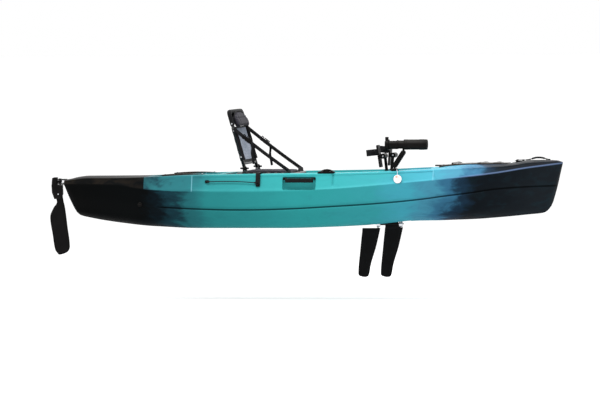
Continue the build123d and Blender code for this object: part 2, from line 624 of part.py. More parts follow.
for side_name, side in (("port", 1), ("starboard", -1)):
    with BuildPart() as drum:
        bar((DRIVE_X, side * 25.0, CRANK_Z), (DRIVE_X, side * 47.0, CRANK_Z), 31.0)
        bar((DRIVE_X, side * 30.0, CRANK_Z), (DRIVE_X, side * 42.0, CRANK_Z), 40.0, Mode.SUBTRACT)
        bar((DRIVE_X, side * 25.0, CRANK_Z), (DRIVE_X, side * 47.0, CRANK_Z), 27.0)
        bar((DRIVE_X, side * 20.0, CRANK_Z), (DRIVE_X, side * 50.0, CRANK_Z), 10.0 + RUN, Mode.SUBTRACT)
    write_leaned(drum, side, f"drum_{side_name}")

    with BuildPart() as crank:
        bar((DRIVE_X, side * 49.0, CRANK_Z), (DRIVE_X, side * 75.0, CRANK_Z), 24.0)
        bar((DRIVE_X, side * 47.0, CRANK_Z), (DRIVE_X, side * 50.0, CRANK_Z), 22.0)
        bar((DRIVE_X, side * 62.0, CRANK_Z), (DRIVE_X, side * 62.0, PEDAL_Z), 11.0)
        bar((DRIVE_X, side * 62.0, CRANK_Z), (DRIVE_X, side * 62.0, 430.0), 14.5)
        bar((DRIVE_X, side * 52.0, PEDAL_Z), (DRIVE_X, side * 71.0, PEDAL_Z), 20.0)
        bar((DRIVE_X, side * 40.0, CRANK_Z), (DRIVE_X, side * 80.0, CRANK_Z), 10.0 + RUN, Mode.SUBTRACT)
        bar((DRIVE_X, side * 50.0, PEDAL_Z), (DRIVE_X, side * 75.0, PEDAL_Z), 6.0, Mode.SUBTRACT)
    write_leaned(crank, side, f"crank_{side_name}")

    with BuildPart() as pedal_pin:
        bar((DRIVE_X, side * 52.0, PEDAL_Z), (DRIVE_X, side * 170.0, PEDAL_Z), 6.0)
    write_leaned(pedal_pin, side, f"pedal_pin_{side_name}")

    with BuildPart() as pedal:
        y_low, y_high = sorted((side * PEDAL_IN, side * PEDAL_OUT))
        profile = [(DRIVE_X - 34.0, 452.0), (DRIVE_X - 22.0, 450.0), (DRIVE_X - 28.0, 616.0),
                   (DRIVE_X - 40.0, 612.0)]
        extrude_outline(Plane.XZ.offset(-y_low), profile, -(y_high - y_low), round_by=4.0)
        bar((DRIVE_X, y_low + 2.0, PEDAL_Z), (DRIVE_X, y_high - 2.0, PEDAL_Z), 19.0)
        block((DRIVE_X - 30.0, y_low + 8.0, PEDAL_Z - 14.0), (DRIVE_X, y_high - 8.0, PEDAL_Z + 14.0))
        bar((DRIVE_X, y_low - 2.0, PEDAL_Z), (DRIVE_X, y_high + 2.0, PEDAL_Z), 6.0 + RUN, Mode.SUBTRACT)
    write_leaned(pedal, side, f"pedal_{side_name}")

    with BuildPart() as pedal_strap:
        with BuildSketch(Plane.XY.offset(540.0)) as hoop:
            with BuildLine():
                middle = side * (PEDAL_IN + PEDAL_OUT) / 2
                Line((DRIVE_X - 40.5, middle - 46.0), (DRIVE_X - 74.0, middle - 46.0))
                ThreePointArc((DRIVE_X - 74.0, middle - 46.0), (DRIVE_X - 124.0, middle),
                              (DRIVE_X - 74.0, middle + 46.0))
                Line((DRIVE_X - 74.0, middle + 46.0), (DRIVE_X - 40.5, middle + 46.0))
                Line((DRIVE_X - 40.5, middle + 46.0), (DRIVE_X - 40.5, middle + 40.0))
                Line((DRIVE_X - 40.5, middle + 40.0), (DRIVE_X - 74.0, middle + 40.0))
                ThreePointArc((DRIVE_X - 74.0, middle + 40.0), (DRIVE_X - 118.0, middle),
                              (DRIVE_X - 74.0, middle - 40.0))
                Line((DRIVE_X - 74.0, middle - 40.0), (DRIVE_X - 40.5, middle - 40.0))
                Line((DRIVE_X - 40.5, middle - 40.0), (DRIVE_X - 40.5, middle - 46.0))
            make_face()
        extrude(hoop.sketch, amount=46.0)
    write_leaned(pedal_strap, side, f"pedal_strap_{side_name}")


FIN_LENGTH = 390.0

for mast_name, x in MASTS.items():
    foot = (x - 88.0, 0.0, MAST_Z - FIN_LENGTH + 16.0)
    with BuildPart() as mast:
        bar((x - 12.0, 0.0, MAST_Z), (x + 12.0, 0.0, MAST_Z), 23.0)
        bar((x, 0.0, MAST_Z), foot, 4.5)
        bar((x - 20.0, 0.0, MAST_Z), (x + 20.0, 0.0, MAST_Z), SHAFT_R + RUN, Mode.SUBTRACT)
    finish(mast, f"mast_{mast_name}")

    with BuildPart() as fin:
        with BuildSketch(Plane.XZ) as outline:
            with BuildLine():
                Line((x - 119.0, 5.0), (x + 14.0, 5.0))
                Spline((x + 14.0, 5.0), (x - 18.0, -130.0), (x - 60.0, -270.0), (x - 76.0, -347.0))
                ThreePointArc((x - 76.0, -347.0), (x - 84.0, -360.0), (x - 98.0, -359.0))
                Line((x - 98.0, -359.0), (x - 146.0, -348.0))
                Spline((x - 146.0, -348.0), (x - 153.0, -333.0), (x - 136.0, -150.0), (x - 119.0, 5.0))
            make_face()
        extrude(outline.sketch, amount=6.5, both=True)
        bar((x - 16.0, 0.0, MAST_Z), (x + 16.0, 0.0, MAST_Z), 25.0, Mode.SUBTRACT)
        bar((x, 0.0, MAST_Z), foot, 4.6, Mode.SUBTRACT)
    finish(fin, f"fin_{mast_name}")

for side_name, side in (("port", 1), ("starboard", -1)):
    x, y = LATCH_POST[0], side * LATCH_POST[1]
    with BuildPart() as latch:
        bar((x, y, 310.0), (x, y, 317.5), 10.5)
        block((x - 36.0, y - 6.0, 310.0), (x, y + 6.0, 317.5))
        bar((x, y, 305.0), (x, y, 320.0), 4.0 + RUN, Mode.SUBTRACT)
    finish(latch, f"drive_latch_{side_name}")

# ---------------------------------------------------------------- seat

with BuildPart() as seat_base_frame:
    with BuildLine() as loop:
        with BuildSketch(Plane.XY.offset(400.0)) as plan:
            with Locations((-306.0, 0.0)):
                RectangleRounded(425.0, 2 * SEAT_HALF, 55.0)
        add(plan.sketch.wire())
    start = loop.line @ 0
    with BuildSketch(Plane(origin=start, z_dir=loop.line % 0)) as tube:
        Circle(SEAT_TUBE)
    sweep(tube.sketch, path=loop.line)
    for side in (1, -1):
        y_low, y_high = sorted((side * (SEAT_HALF + 13.0), side * (SEAT_HALF + 18.0)))
        for x in (BACK_PIVOT[0], -136.0):
            bar((x, side * (SEAT_HALF + 4.0), 400.0), (x, side * (SEAT_HALF + 15.0), 400.0), 7.0)
        plate = [(BACK_PIVOT[0] - 18.0, 392.0), (BACK_PIVOT[0] + 30.0, 392.0),
                 (BACK_PIVOT[0] + 14.0, 446.0), (BACK_PIVOT[0] - 14.0, 446.0)]
        extrude_outline(Plane.XZ.offset(-y_low), plate, -(y_high - y_low), round_by=5.0)
        bar((BACK_PIVOT[0], side * 250.0, BACK_PIVOT[1]), (BACK_PIVOT[0], side * 265.0, BACK_PIVOT[1]),
            SHAFT_R, Mode.SUBTRACT)
        anchor = [(-160.0, 394.0), (-112.0, 394.0), (-118.0, 438.0), (-150.0, 442.0)]
        extrude_outline(Plane.XZ.offset(-y_low), anchor, -(y_high - y_low), round_by=5.0)
finish(seat_base_frame, "seat_base_frame")

with BuildPart() as seat_pad:
    with BuildSketch(Plane.XY.offset(408.0)) as plan:
        with Locations((-312.0, 0.0)):
            RectangleRounded(380.0, 456.0, 45.0)
    extrude(plan.sketch, amount=20.0)
    top = seat_pad.faces().sort_by(Axis.Z)[-1]
    fillet(top.edges(), 8.0)
finish(seat_pad, "seat_pad")

with BuildPart() as hinge_pins:
    for side in (1, -1):
        bar((BACK_PIVOT[0], side * 234.0, BACK_PIVOT[1]), (BACK_PIVOT[0], side * 267.0, BACK_PIVOT[1]), SHAFT_R)
    bar((HATCH_PIN[0], -46.0, HATCH_PIN[1]), (HATCH_PIN[0], 46.0, HATCH_PIN[1]), 4.0)
finish(hinge_pins, "hinge_pins")

# The back is drawn in its own plane: local x is the kayak's port direction, local y runs up the back.
BACK_PLANE = Plane(
    origin=(BACK_PIVOT[0], 0, BACK_PIVOT[1]),
    x_dir=(0, 1, 0),
    z_dir=(cos(radians(BACK_LEAN)), 0, sin(radians(BACK_LEAN))),
)


def back_point(up, forward=0.0, across=0.0):
    """A point given up the back, forward of its plane and across it."""
    lean = radians(BACK_LEAN)
    x = BACK_PIVOT[0] - up * sin(lean) + forward * cos(lean)
    z = BACK_PIVOT[1] + up * cos(lean) + forward * sin(lean)
    return (x, across, z)


with BuildPart() as seat_back_frame:
    with BuildLine() as bow:
        FilletPolyline(back_point(6, 0, -SEAT_HALF), back_point(BACK_HEIGHT - 12, 0, -SEAT_HALF),
                       back_point(BACK_HEIGHT - 12, 0, SEAT_HALF), back_point(6, 0, SEAT_HALF), radius=60.0)
    with BuildSketch(Plane(origin=bow.line @ 0, z_dir=bow.line % 0)) as tube:
        Circle(SEAT_TUBE)
    sweep(tube.sketch, path=bow.line)
    for side in (1, -1):
        start, end = side * (SEAT_HALF - 10.0), side * (SEAT_HALF + 11.0)
        bar((BACK_PIVOT[0], start, BACK_PIVOT[1]), (BACK_PIVOT[0], end, BACK_PIVOT[1]), 13.0)
        bar((BACK_PIVOT[0], start, BACK_PIVOT[1]), (BACK_PIVOT[0], end + side, BACK_PIVOT[1]),
            SHAFT_R + RUN, Mode.SUBTRACT)
        bar(back_point(312, 0, side * SEAT_HALF), back_point(312, 0, side * (SEAT_HALF + 19.0)), 9.0)
    bar(back_point(50, 0, -SEAT_HALF), back_point(50, 0, SEAT_HALF), 8.0)
finish(seat_back_frame, "seat_back_frame")

with BuildPart() as back_mesh:
    with BuildSketch(BACK_PLANE.offset(-5.0)) as panel:
        with Locations((0.0, 190.0)):
            RectangleRounded(450.0, 244.0, 20.0)
    extrude(panel.sketch, amount=10.0)
finish(back_mesh, "back_mesh")

with BuildPart() as headrest:
    with BuildSketch(BACK_PLANE.offset(15.0)) as pad:
        with Locations((0.0, 378.0)):
            RectangleRounded(440.0, 128.0, 40.0)
    extrude(pad.sketch, amount=32.0)
    fillet(headrest.faces().sort_by(Axis.X)[-1].edges(), 12.0)
finish(headrest, "headrest")

STRAP_TOP = back_point(312, 6)
STRAP_LOW = (-134.0, 430.0)

with BuildPart() as seat_straps:
    for side in (1, -1):
        points = [(STRAP_TOP[0] - 8.0, STRAP_TOP[2] - 10.0), (STRAP_TOP[0] + 8.0, STRAP_TOP[2] + 10.0),
                  (STRAP_LOW[0] + 8.0, STRAP_LOW[1] + 10.0), (STRAP_LOW[0] - 8.0, STRAP_LOW[1] - 10.0)]
        extrude_outline(Plane.XZ.offset(-side * (SEAT_HALF + 20.0)), points, -side * 2.5)
finish(seat_straps, "seat_straps")

with BuildPart() as strap_buckles:
    for side in (1, -1):
        along = Vector(STRAP_LOW[0] - STRAP_TOP[0], 0, STRAP_LOW[1] - STRAP_TOP[2]).normalized()
        middle = Vector(STRAP_TOP[0], side * (SEAT_HALF + 22.7), STRAP_TOP[2]) + along * 132.0
        with BuildSketch(Plane(origin=middle, x_dir=along, z_dir=(0, side, 0))) as buckle:
            RectangleRounded(46.0, 34.0, 5.0)
        extrude(buckle.sketch, amount=7.0)
finish(strap_buckles, "strap_buckles")

# ---------------------------------------------------------------- rod holder and tag

HOLDER_Z = 616.0
BALL_R = 12.7
LOW_BALL = (ROD_BASE[0], ROD_BASE[1], 462.0)
KNUCKLE = (718.0, ROD_BASE[1], 560.0)
KNUCKLE_HALF = 12.0

with BuildPart() as rod_base:
    bar((*ROD_BASE, 422.0), (*ROD_BASE, 434.0), 28.0)
    bar((*ROD_BASE, 432.0), (*ROD_BASE, 444.0), 20.0)
    bar((*ROD_BASE, 440.0), LOW_BALL, 7.0)
    with Locations(LOW_BALL):
        Sphere(BALL_R)
finish(rod_base, "rod_base")

ARM_DIR = (Vector(*KNUCKLE) - Vector(*LOW_BALL)).normalized()
ARM_CENTRE = (Vector(*LOW_BALL) + Vector(*KNUCKLE)) * 0.5
ARM_GAP = 2.0

with BuildPart() as rod_arm:
    arm_plane = Plane(origin=ARM_CENTRE, x_dir=ARM_DIR, z_dir=(0, -1, 0))
    length = (Vector(*KNUCKLE) - Vector(*LOW_BALL)).length + 14.0
    for half in (1, -1):
        with BuildSketch(arm_plane.offset(half * ARM_GAP)) as shell:
            SlotOverall(length + 16.0, 34.0)
        extrude(shell.sketch, amount=half * 15.0)
    with Locations(LOW_BALL):
        Sphere(BALL_R + 0.3, mode=Mode.SUBTRACT)
    reach = Vector(0, KNUCKLE_HALF + 0.5, 0)
    bar(Vector(*KNUCKLE) - reach, Vector(*KNUCKLE) + reach, BALL_R + RUN, Mode.SUBTRACT)
    bar(LOW_BALL, Vector(*LOW_BALL) - Vector(0, 0, 30), 11.5, Mode.SUBTRACT)
    for angle in (-48, -36, -24, -12, 0, 12, 24, 36):
        stem = Vector(sin(radians(angle)), 0, cos(radians(angle))) * 30.0
        bar(KNUCKLE, Vector(*KNUCKLE) + stem, 9.0, Mode.SUBTRACT)
    bar(ARM_CENTRE + Vector(0, -30, 0), ARM_CENTRE + Vector(0, 30, 0), 4.0 + RUN, Mode.SUBTRACT)
finish(rod_arm, "rod_arm")

with BuildPart() as rod_knob:
    bar(ARM_CENTRE + Vector(0, -20, 0), ARM_CENTRE + Vector(0, 20, 0), 4.0)
    bar(ARM_CENTRE + Vector(0, -18, 0), ARM_CENTRE + Vector(0, -24, 0), 8.0)
    with BuildSketch(Plane(origin=ARM_CENTRE + Vector(0, -24, 0), x_dir=ARM_DIR, z_dir=(0, -1, 0))) as wing:
        SlotOverall(46.0, 16.0)
        Circle(12.0)
    extrude(wing.sketch, amount=14.0)
finish(rod_knob, "rod_knob")

TUBE_REAR = 723.0
TUBE_FRONT = 886.0
TUBE_R = 37.0
BORE_R = 25.0

with BuildPart() as rod_tube:
    y = ROD_BASE[1]
    bar((TUBE_REAR, y, HOLDER_Z), (TUBE_FRONT, y, HOLDER_Z), TUBE_R)
    bar((676.0, y, HOLDER_Z), (TUBE_REAR + 5.0, y, HOLDER_Z), 30.0)
    bar((586.0, y, HOLDER_Z), (680.0, y, HOLDER_Z), 33.0)
    bar((580.0, y, HOLDER_Z), (TUBE_FRONT + 4.0, y, HOLDER_Z), BORE_R, Mode.SUBTRACT)
    block((580.0, y - 19.0, HOLDER_Z), (672.0, y + 19.0, HOLDER_Z + 50.0), Mode.SUBTRACT)
    bar((KNUCKLE[0], y, KNUCKLE[2]), (KNUCKLE[0], y, HOLDER_Z - 26.0), 7.0)
    bar((KNUCKLE[0], y - KNUCKLE_HALF, KNUCKLE[2]), (KNUCKLE[0], y + KNUCKLE_HALF, KNUCKLE[2]), BALL_R)
finish(rod_tube, "rod_tube")

with BuildPart() as rod_cap:
    bar((TUBE_FRONT, ROD_BASE[1], HOLDER_Z), (TUBE_FRONT + 8.0, ROD_BASE[1], HOLDER_Z), TUBE_R)
    bar((TUBE_FRONT, ROD_BASE[1], HOLDER_Z), (TUBE_FRONT + 8.0, ROD_BASE[1], HOLDER_Z), BORE_R, Mode.SUBTRACT)
finish(rod_cap, "rod_cap")

with BuildPart() as rod_collar:
    with BuildSketch(Plane.YZ.offset(592.0)) as ring:
        with Locations((ROD_BASE[1], HOLDER_Z)):
            Circle(41.0)
            Circle(33.0 + RUN, mode=Mode.SUBTRACT)
        with Locations((ROD_BASE[1], HOLDER_Z + 40.0)):
            Rectangle(38.0, 40.0, mode=Mode.SUBTRACT)
    extrude(ring.sketch, amount=22.0)
    block((590.0, ROD_BASE[1] - 30.0, HOLDER_Z + 28.0), (614.0, ROD_BASE[1] - 19.5, HOLDER_Z + 56.0))
    bar((588.0, ROD_BASE[1], HOLDER_Z), (620.0, ROD_BASE[1], HOLDER_Z), 33.0 + RUN, Mode.SUBTRACT)
finish(rod_collar, "rod_collar")

TAG_R = 1.5
TAG_ROUTE = [(668.0, -323.0, 429.0), (672.0, -334.0, 433.0), (677.0, -346.5, 433.5),
             (681.0, -358.0, 428.0), (683.5, -366.5, 418.0), (685.0, -373.0, 406.0),
             (685.5, -376.5, 396.0)]
TAG_RADII = []
for before, corner, after in zip(TAG_ROUTE, TAG_ROUTE[1:], TAG_ROUTE[2:]):
    arrive = Vector(*corner) - Vector(*before)
    leave = Vector(*after) - Vector(*corner)
    half_turn = radians(arrive.get_angle(leave)) / 2
    TAG_RADII.append(0.45 * min(arrive.length, leave.length) / tan(half_turn))
print("tag cord radii", [round(r, 1) for r in TAG_RADII])

with BuildPart() as tag_cord:
    with BuildLine() as route:
        FilletPolyline(*TAG_ROUTE, radius=TAG_RADII)
    with BuildSketch(Plane(origin=route.line @ 0, z_dir=route.line % 0)) as cord:
        Circle(TAG_R)
    sweep(cord.sketch, path=route.line)
    print("tag cord length", round(sum(edge.length for edge in route.line.edges()), 1))
finish(tag_cord, "tag_cord")

with BuildPart() as tag:
    with BuildSketch(Plane.XZ.offset(375.0)) as disc:
        with Locations((686.0, 369.0)):
            Ellipse(29.0, 30.0)
    extrude(disc.sketch, amount=3.0)
finish(tag, "tag")
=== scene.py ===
import json
from math import cos, pi, radians, sin, sqrt

import bpy
import numpy as np
from mathutils import Matrix, Quaternion, Vector


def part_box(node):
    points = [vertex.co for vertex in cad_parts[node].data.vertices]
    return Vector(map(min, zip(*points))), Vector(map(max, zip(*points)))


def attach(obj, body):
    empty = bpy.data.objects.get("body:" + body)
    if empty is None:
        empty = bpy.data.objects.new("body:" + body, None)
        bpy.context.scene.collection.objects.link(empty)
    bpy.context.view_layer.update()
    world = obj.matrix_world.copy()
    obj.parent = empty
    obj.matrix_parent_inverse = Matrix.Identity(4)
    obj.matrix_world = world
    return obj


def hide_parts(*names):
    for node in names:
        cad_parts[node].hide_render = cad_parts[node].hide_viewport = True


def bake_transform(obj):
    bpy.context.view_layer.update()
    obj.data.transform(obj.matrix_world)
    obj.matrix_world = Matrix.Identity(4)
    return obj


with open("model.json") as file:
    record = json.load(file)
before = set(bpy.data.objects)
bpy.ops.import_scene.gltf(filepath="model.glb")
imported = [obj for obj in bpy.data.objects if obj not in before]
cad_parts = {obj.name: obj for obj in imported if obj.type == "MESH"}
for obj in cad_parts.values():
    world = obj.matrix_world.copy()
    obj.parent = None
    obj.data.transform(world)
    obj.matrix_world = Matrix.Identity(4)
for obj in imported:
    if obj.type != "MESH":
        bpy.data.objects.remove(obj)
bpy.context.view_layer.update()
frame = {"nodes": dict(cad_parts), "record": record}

# A sit-on-top pedal kayak: hull, deck fittings, fins, rudder, pedals, rod holder and folding seat.
# Frame: +X to the bow, +Y to port, +Z up, origin on the keel line amidships, metres.

BODY_OF = {node: body for body, nodes in frame["record"]["behaviour"]["bodies"].items() for node in nodes}
SLOT_OF = {part["node"]: part["material_slot"] for part in frame["record"]["subparts"]}
SCENE = bpy.context.scene
SCENE.view_settings.view_transform = "Standard"
bpy.ops.object.select_all(action="DESELECT")

# ---------------------------------------------------------------- camera, floor and lights

AIM = Vector((-0.096, 0.0, 0.205))
CAMERA_TURN = radians(10)
CAMERA_RISE = radians(2)
CAMERA_ROLL = radians(0.4)
CAMERA_AWAY = 40.0
VIEW_WIDTH = 4.385  # how much of the scene the view takes in, across, at the kayak
SENSOR_WIDTH = 36.0
FLOOR = -0.52
LIGHT_TARGET = Vector((0, 0, 0.2))

bpy.ops.object.camera_add()
camera = bpy.context.active_object
away = Vector((sin(CAMERA_TURN) * cos(CAMERA_RISE), -cos(CAMERA_TURN) * cos(CAMERA_RISE), sin(CAMERA_RISE)))
camera.location = AIM + away * CAMERA_AWAY
camera.rotation_euler = (away.to_track_quat("Z", "Y") @ Quaternion((0, 0, 1), -CAMERA_ROLL)).to_euler()
camera.data.sensor_width = SENSOR_WIDTH
camera.data.lens = SENSOR_WIDTH * CAMERA_AWAY / VIEW_WIDTH
SCENE.camera = camera


def panel_light(name, place, size, power):
    """A large soft light that faces the kayak."""
    bpy.ops.object.light_add(type="AREA", location=place)
    light = bpy.context.active_object
    light.name = name
    light.data.shape = "RECTANGLE"
    light.data.size, light.data.size_y = size
    light.data.energy = power
    light.rotation_euler = (Vector(place) - LIGHT_TARGET).to_track_quat("Z", "Y").to_euler()


panel_light("key_light", (-0.8, -3.2, 6.5), (5.0, 2.0), 620)
panel_light("top_light", (0.0, 1.5, 6.0), (7.0, 3.0), 220)
panel_light("back_light", (1.0, 6.0, 3.0), (6.0, 2.5), 60)


# ---------------------------------------------------------------- modelling helpers

SAME_PLACE = 1e-6  # points closer than this are merged


def focus(obj):
    """Make obj the one selected and active object."""
    bpy.ops.object.select_all(action="DESELECT")
    obj.select_set(True)
    bpy.context.view_layer.objects.active = obj
    return obj


def edit(action="SELECT"):
    """Start editing the active object, with all of it selected."""
    bpy.ops.object.mode_set(mode="EDIT")
    bpy.ops.mesh.select_all(action=action)


def leave():
    """Stop editing."""
    bpy.ops.object.mode_set(mode="OBJECT")


def modify(obj, kind, **settings):
    """Add a modifier and apply it."""
    focus(obj)
    modifier = obj.modifiers.new(kind.lower(), kind)
    for key, value in settings.items():
        setattr(modifier, key, value)
    bpy.ops.object.modifier_apply(modifier=modifier.name)
    return obj


def settle(obj, name):
    """Name a new object and bring its place into its mesh."""
    focus(obj)
    obj.name = name
    obj.data.name = name
    bpy.ops.object.transform_apply(location=True, rotation=True, scale=True)
    return obj


def smooth(obj, angle=38):
    """Shade smooth across edges that turn by less than an angle."""
    focus(obj)
    bpy.ops.object.shade_smooth_by_angle(angle=radians(angle))
    return obj


def soften(obj, width, segments=3, angle=40):
    """Round the edges that turn by more than an angle."""
    return modify(obj, "BEVEL", width=width, segments=segments, limit_method="ANGLE",
                  angle_limit=radians(angle), use_clamp_overlap=True)


def tidy(obj):
    """Merge doubles and turn all faces outwards."""
    focus(obj)
    edit()
    bpy.ops.mesh.remove_doubles(threshold=SAME_PLACE)
    bpy.ops.mesh.normals_make_consistent(inside=False)
    leave()
    return obj


def vertices(obj):
    """The places of all points, one row each."""
    places = np.zeros(len(obj.data.vertices) * 3)
    obj.data.vertices.foreach_get("co", places)
    return places.reshape(-1, 3)


def reshape(obj, places):
    """Move all points to new places."""
    obj.data.vertices.foreach_set("co", np.asarray(places, float).ravel())
    obj.data.update()
    return obj


def block(name, low, high, round_by=0.0, segments=3):
    """A box between two corners with its edges rounded."""
    low, high = Vector(low), Vector(high)
    bpy.ops.mesh.primitive_cube_add(size=1, location=(low + high) / 2, scale=high - low)
    obj = settle(bpy.context.active_object, name)
    if round_by:
        edit()
        bpy.ops.mesh.bevel(offset=round_by, segments=segments, affect="EDGES")
        leave()
    return obj


def rod(name, start, end, radius, round_by=0.0, sides=32, far_radius=None):
    """A round rod or cone between two points with its end edges rounded."""
    start, end = Vector(start), Vector(end)
    along = end - start
    far = radius if far_radius is None else far_radius
    bpy.ops.mesh.primitive_cone_add(vertices=sides, radius1=radius, radius2=far, depth=along.length,
                                    location=(start + end) / 2,
                                    rotation=along.to_track_quat("Z", "Y").to_euler())
    obj = settle(bpy.context.active_object, name)
    if round_by:
        soften(obj, round_by, 3, 60)
    return obj


def lofted(name, rings, closed=True, caps=True):
    """A skin through rings that all have the same number of points."""
    rings = [list(ring) + [ring[0]] if closed else list(ring) for ring in rings]
    bpy.ops.mesh.primitive_grid_add(x_subdivisions=len(rings[0]) - 1, y_subdivisions=len(rings) - 1, size=1)
    obj = bpy.context.active_object
    obj.name = obj.data.name = name
    reshape(obj, [point for ring in rings for point in ring])
    if closed:
        focus(obj)
        edit()
        bpy.ops.mesh.remove_doubles(threshold=SAME_PLACE)
        if caps:
            bpy.ops.mesh.select_all(action="DESELECT")
            bpy.ops.mesh.select_non_manifold()
            bpy.ops.mesh.fill_holes(sides=0)
            bpy.ops.mesh.select_all(action="SELECT")
        bpy.ops.mesh.normals_make_consistent(inside=False)
        leave()
    return obj


def joined(name, parts):
    """One object of several."""
    focus(parts[0])
    for part in parts[1:]:
        part.select_set(True)
    bpy.ops.object.join()
    obj = bpy.context.active_object
    obj.name = obj.data.name = name
    return obj


def fit(obj, body, slot, nodes=()):
    """Give a finished piece its material, its body, and the frame nodes that it stands for."""
    obj.data.materials.clear()
    obj.data.materials.append(FINISH[slot])
    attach(obj, body)
    if nodes:
        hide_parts(*nodes)
    return obj


def refined(node, round_by=0.0015, segments=2, angle=35, slot=None):
    """The frame's own solid with its edges rounded and its curves smoothed."""
    obj = bpy.data.objects.new(node + "_finished", frame["nodes"][node].data.copy())
    SCENE.collection.objects.link(obj)
    focus(obj)
    edit()
    bpy.ops.mesh.remove_doubles(threshold=1e-5)
    bpy.ops.mesh.dissolve_limited(angle_limit=radians(0.5))
    leave()
    if round_by:
        soften(obj, round_by, segments, angle)
    smooth(obj, 40)
    return fit(obj, BODY_OF[node], slot or SLOT_OF[node], [node])


def added(obj, node):
    """A detail that goes with a frame node: the same body and the same finish."""
    return fit(obj, BODY_OF[node], SLOT_OF[node])


def eased(at, known, values):
    """Smooth curve through known values that never overshoots them."""
    known, values = np.asarray(known, float), np.asarray(values, float)
    run = np.diff(known)
    rise = np.diff(values) / run
    slope = np.zeros_like(values)
    same = rise[:-1] * rise[1:] > 0
    left, right = 2 * run[1:] + run[:-1], run[1:] + 2 * run[:-1]
    safe = np.where(same, rise[:-1] * rise[1:], 1.0)
    slope[1:-1] = np.where(same, (left + right) * safe / (left * rise[1:] + right * rise[:-1] + 1e-30), 0.0)
    slope[0], slope[-1] = rise[0], rise[-1]
    at = np.clip(np.asarray(at, float), known[0], known[-1])
    i = np.clip(np.searchsorted(known, at, side="right") - 1, 0, len(run) - 1)
    t = (at - known[i]) / run[i]
    return (values[i] * (1 + 2 * t) * (1 - t) ** 2 + slope[i] * run[i] * t * (1 - t) ** 2
            + values[i + 1] * t * t * (3 - 2 * t) + slope[i + 1] * run[i] * t * t * (t - 1))


def ramp(value, low, high):
    """0 below low, 1 above high, and a soft step between."""
    t = np.clip((np.asarray(value, float) - low) / (high - low), 0.0, 1.0)
    return t * t * (3 - 2 * t)


def cord_line(name, route, radius):
    """A round cord whose line is a smooth spline with the route as its control points."""
    line = bpy.data.curves.new(name, "CURVE")
    line.dimensions = "3D"
    spline = line.splines.new("NURBS")
    spline.points.add(len(route) - 1)
    for point, place in zip(spline.points, route):
        point.co = (*place, 1.0)
    spline.order_u = 3
    spline.use_endpoint_u = True
    spline.resolution_u = 10
    line.bevel_depth = radius
    line.bevel_resolution = 4
    line.use_fill_caps = True
    obj = bpy.data.objects.new(name, line)
    SCENE.collection.objects.link(obj)
    return obj


def meshed(obj):
    """Turn a curve object into a mesh."""
    focus(obj)
    bpy.ops.object.convert(target="MESH")
    return tidy(bpy.context.active_object)


def webbing(name, path, across, width, thick=0.0022):
    """A flat woven strap that follows a path, its width along a fixed direction."""
    crown, edge_trim = 1.15, 0.45  # middle's thickness, and how far the faces stop short of the edges
    path = [Vector(point) for point in path]
    across = Vector(across).normalized()
    side = across * width / 2
    trim = across * thick * edge_trim
    rings = []
    for i, point in enumerate(path):
        along = (path[min(i + 1, len(path) - 1)] - path[max(i - 1, 0)]).normalized()
        face = along.cross(across).normalized() * thick / 2
        rings.append([point + side, point + side - trim + face, point + face * crown,
                      point - side + trim + face, point - side, point - side + trim - face,
                      point - face * crown, point + side - trim - face])
    return smooth(lofted(name, rings), 50)


def sampled(points, each=6):
    """Points along a smooth line through the given ones."""
    points = [Vector(p) for p in points]
    line = []
    for i in range(len(points) - 1):
        before, start = points[max(i - 1, 0)], points[i]
        end, after = points[i + 1], points[min(i + 2, len(points) - 1)]
        for k in range(each):
            t = k / each
            bend = (2 * before - 5 * start + 4 * end - after) * t * t
            turn = (3 * start - before - 3 * end + after) * t ** 3
            line.append(0.5 * (2 * start + (end - before) * t + bend + turn))
    return line + [points[-1]]


# ---------------------------------------------------------------- finishes


def srgb(red, green, blue):
    """A colour from its 0 to 255 values."""
    def linear(value):
        value /= 255
        return value / 12.92 if value <= 0.04045 else ((value + 0.055) / 1.055) ** 2.4
    return (linear(red), linear(green), linear(blue), 1.0)


def node(tree, kind, inputs=None, **settings):
    """A shader node with its settings made and its inputs set or linked."""
    made = tree.nodes.new(kind)
    for key, value in settings.items():
        setattr(made, key, value)
    for key, value in (inputs or {}).items():
        if isinstance(value, bpy.types.NodeSocket):
            tree.links.new(value, made.inputs[key])
        else:
            made.inputs[key].default_value = value
    return made


def maths(tree, operation, *values, clamp=False):
    """A number worked out from others."""
    made = node(tree, "ShaderNodeMath", dict(enumerate(values)), operation=operation, use_clamp=clamp)
    return made.outputs[0]


def times(tree, first, second):
    """A product."""
    return maths(tree, "MULTIPLY", first, second)


def minus(tree, first, second):
    """A difference."""
    return maths(tree, "SUBTRACT", first, second)


def ramped(tree, value, low, high):
    """A mask that goes from 0 to 1 between two values."""
    made = node(tree, "ShaderNodeMapRange", {"Value": value, "From Min": low, "From Max": high})
    return made.outputs[0]


def spread(tree, value, low, high):
    """A mask turned into a number between two limits."""
    made = node(tree, "ShaderNodeMapRange", {"Value": value, "To Min": low, "To Max": high})
    return made.outputs[0]


def own_place(tree):
    """The point's place on the kayak."""
    return node(tree, "ShaderNodeTexCoord").outputs["Object"]


def axes_of(tree, vector):
    """The X, Y and Z of a vector."""
    return node(tree, "ShaderNodeSeparateXYZ", {0: vector}).outputs


def facing_of(tree):
    """The X, Y and Z of the way the surface faces."""
    return axes_of(tree, node(tree, "ShaderNodeNewGeometry").outputs["Normal"])


def noise(tree, place, scale, detail, **more):
    """Soft cloudy noise from 0 to 1."""
    inputs = {"Vector": place, "Scale": scale, "Detail": detail, **more}
    return node(tree, "ShaderNodeTexNoise", inputs).outputs[0]


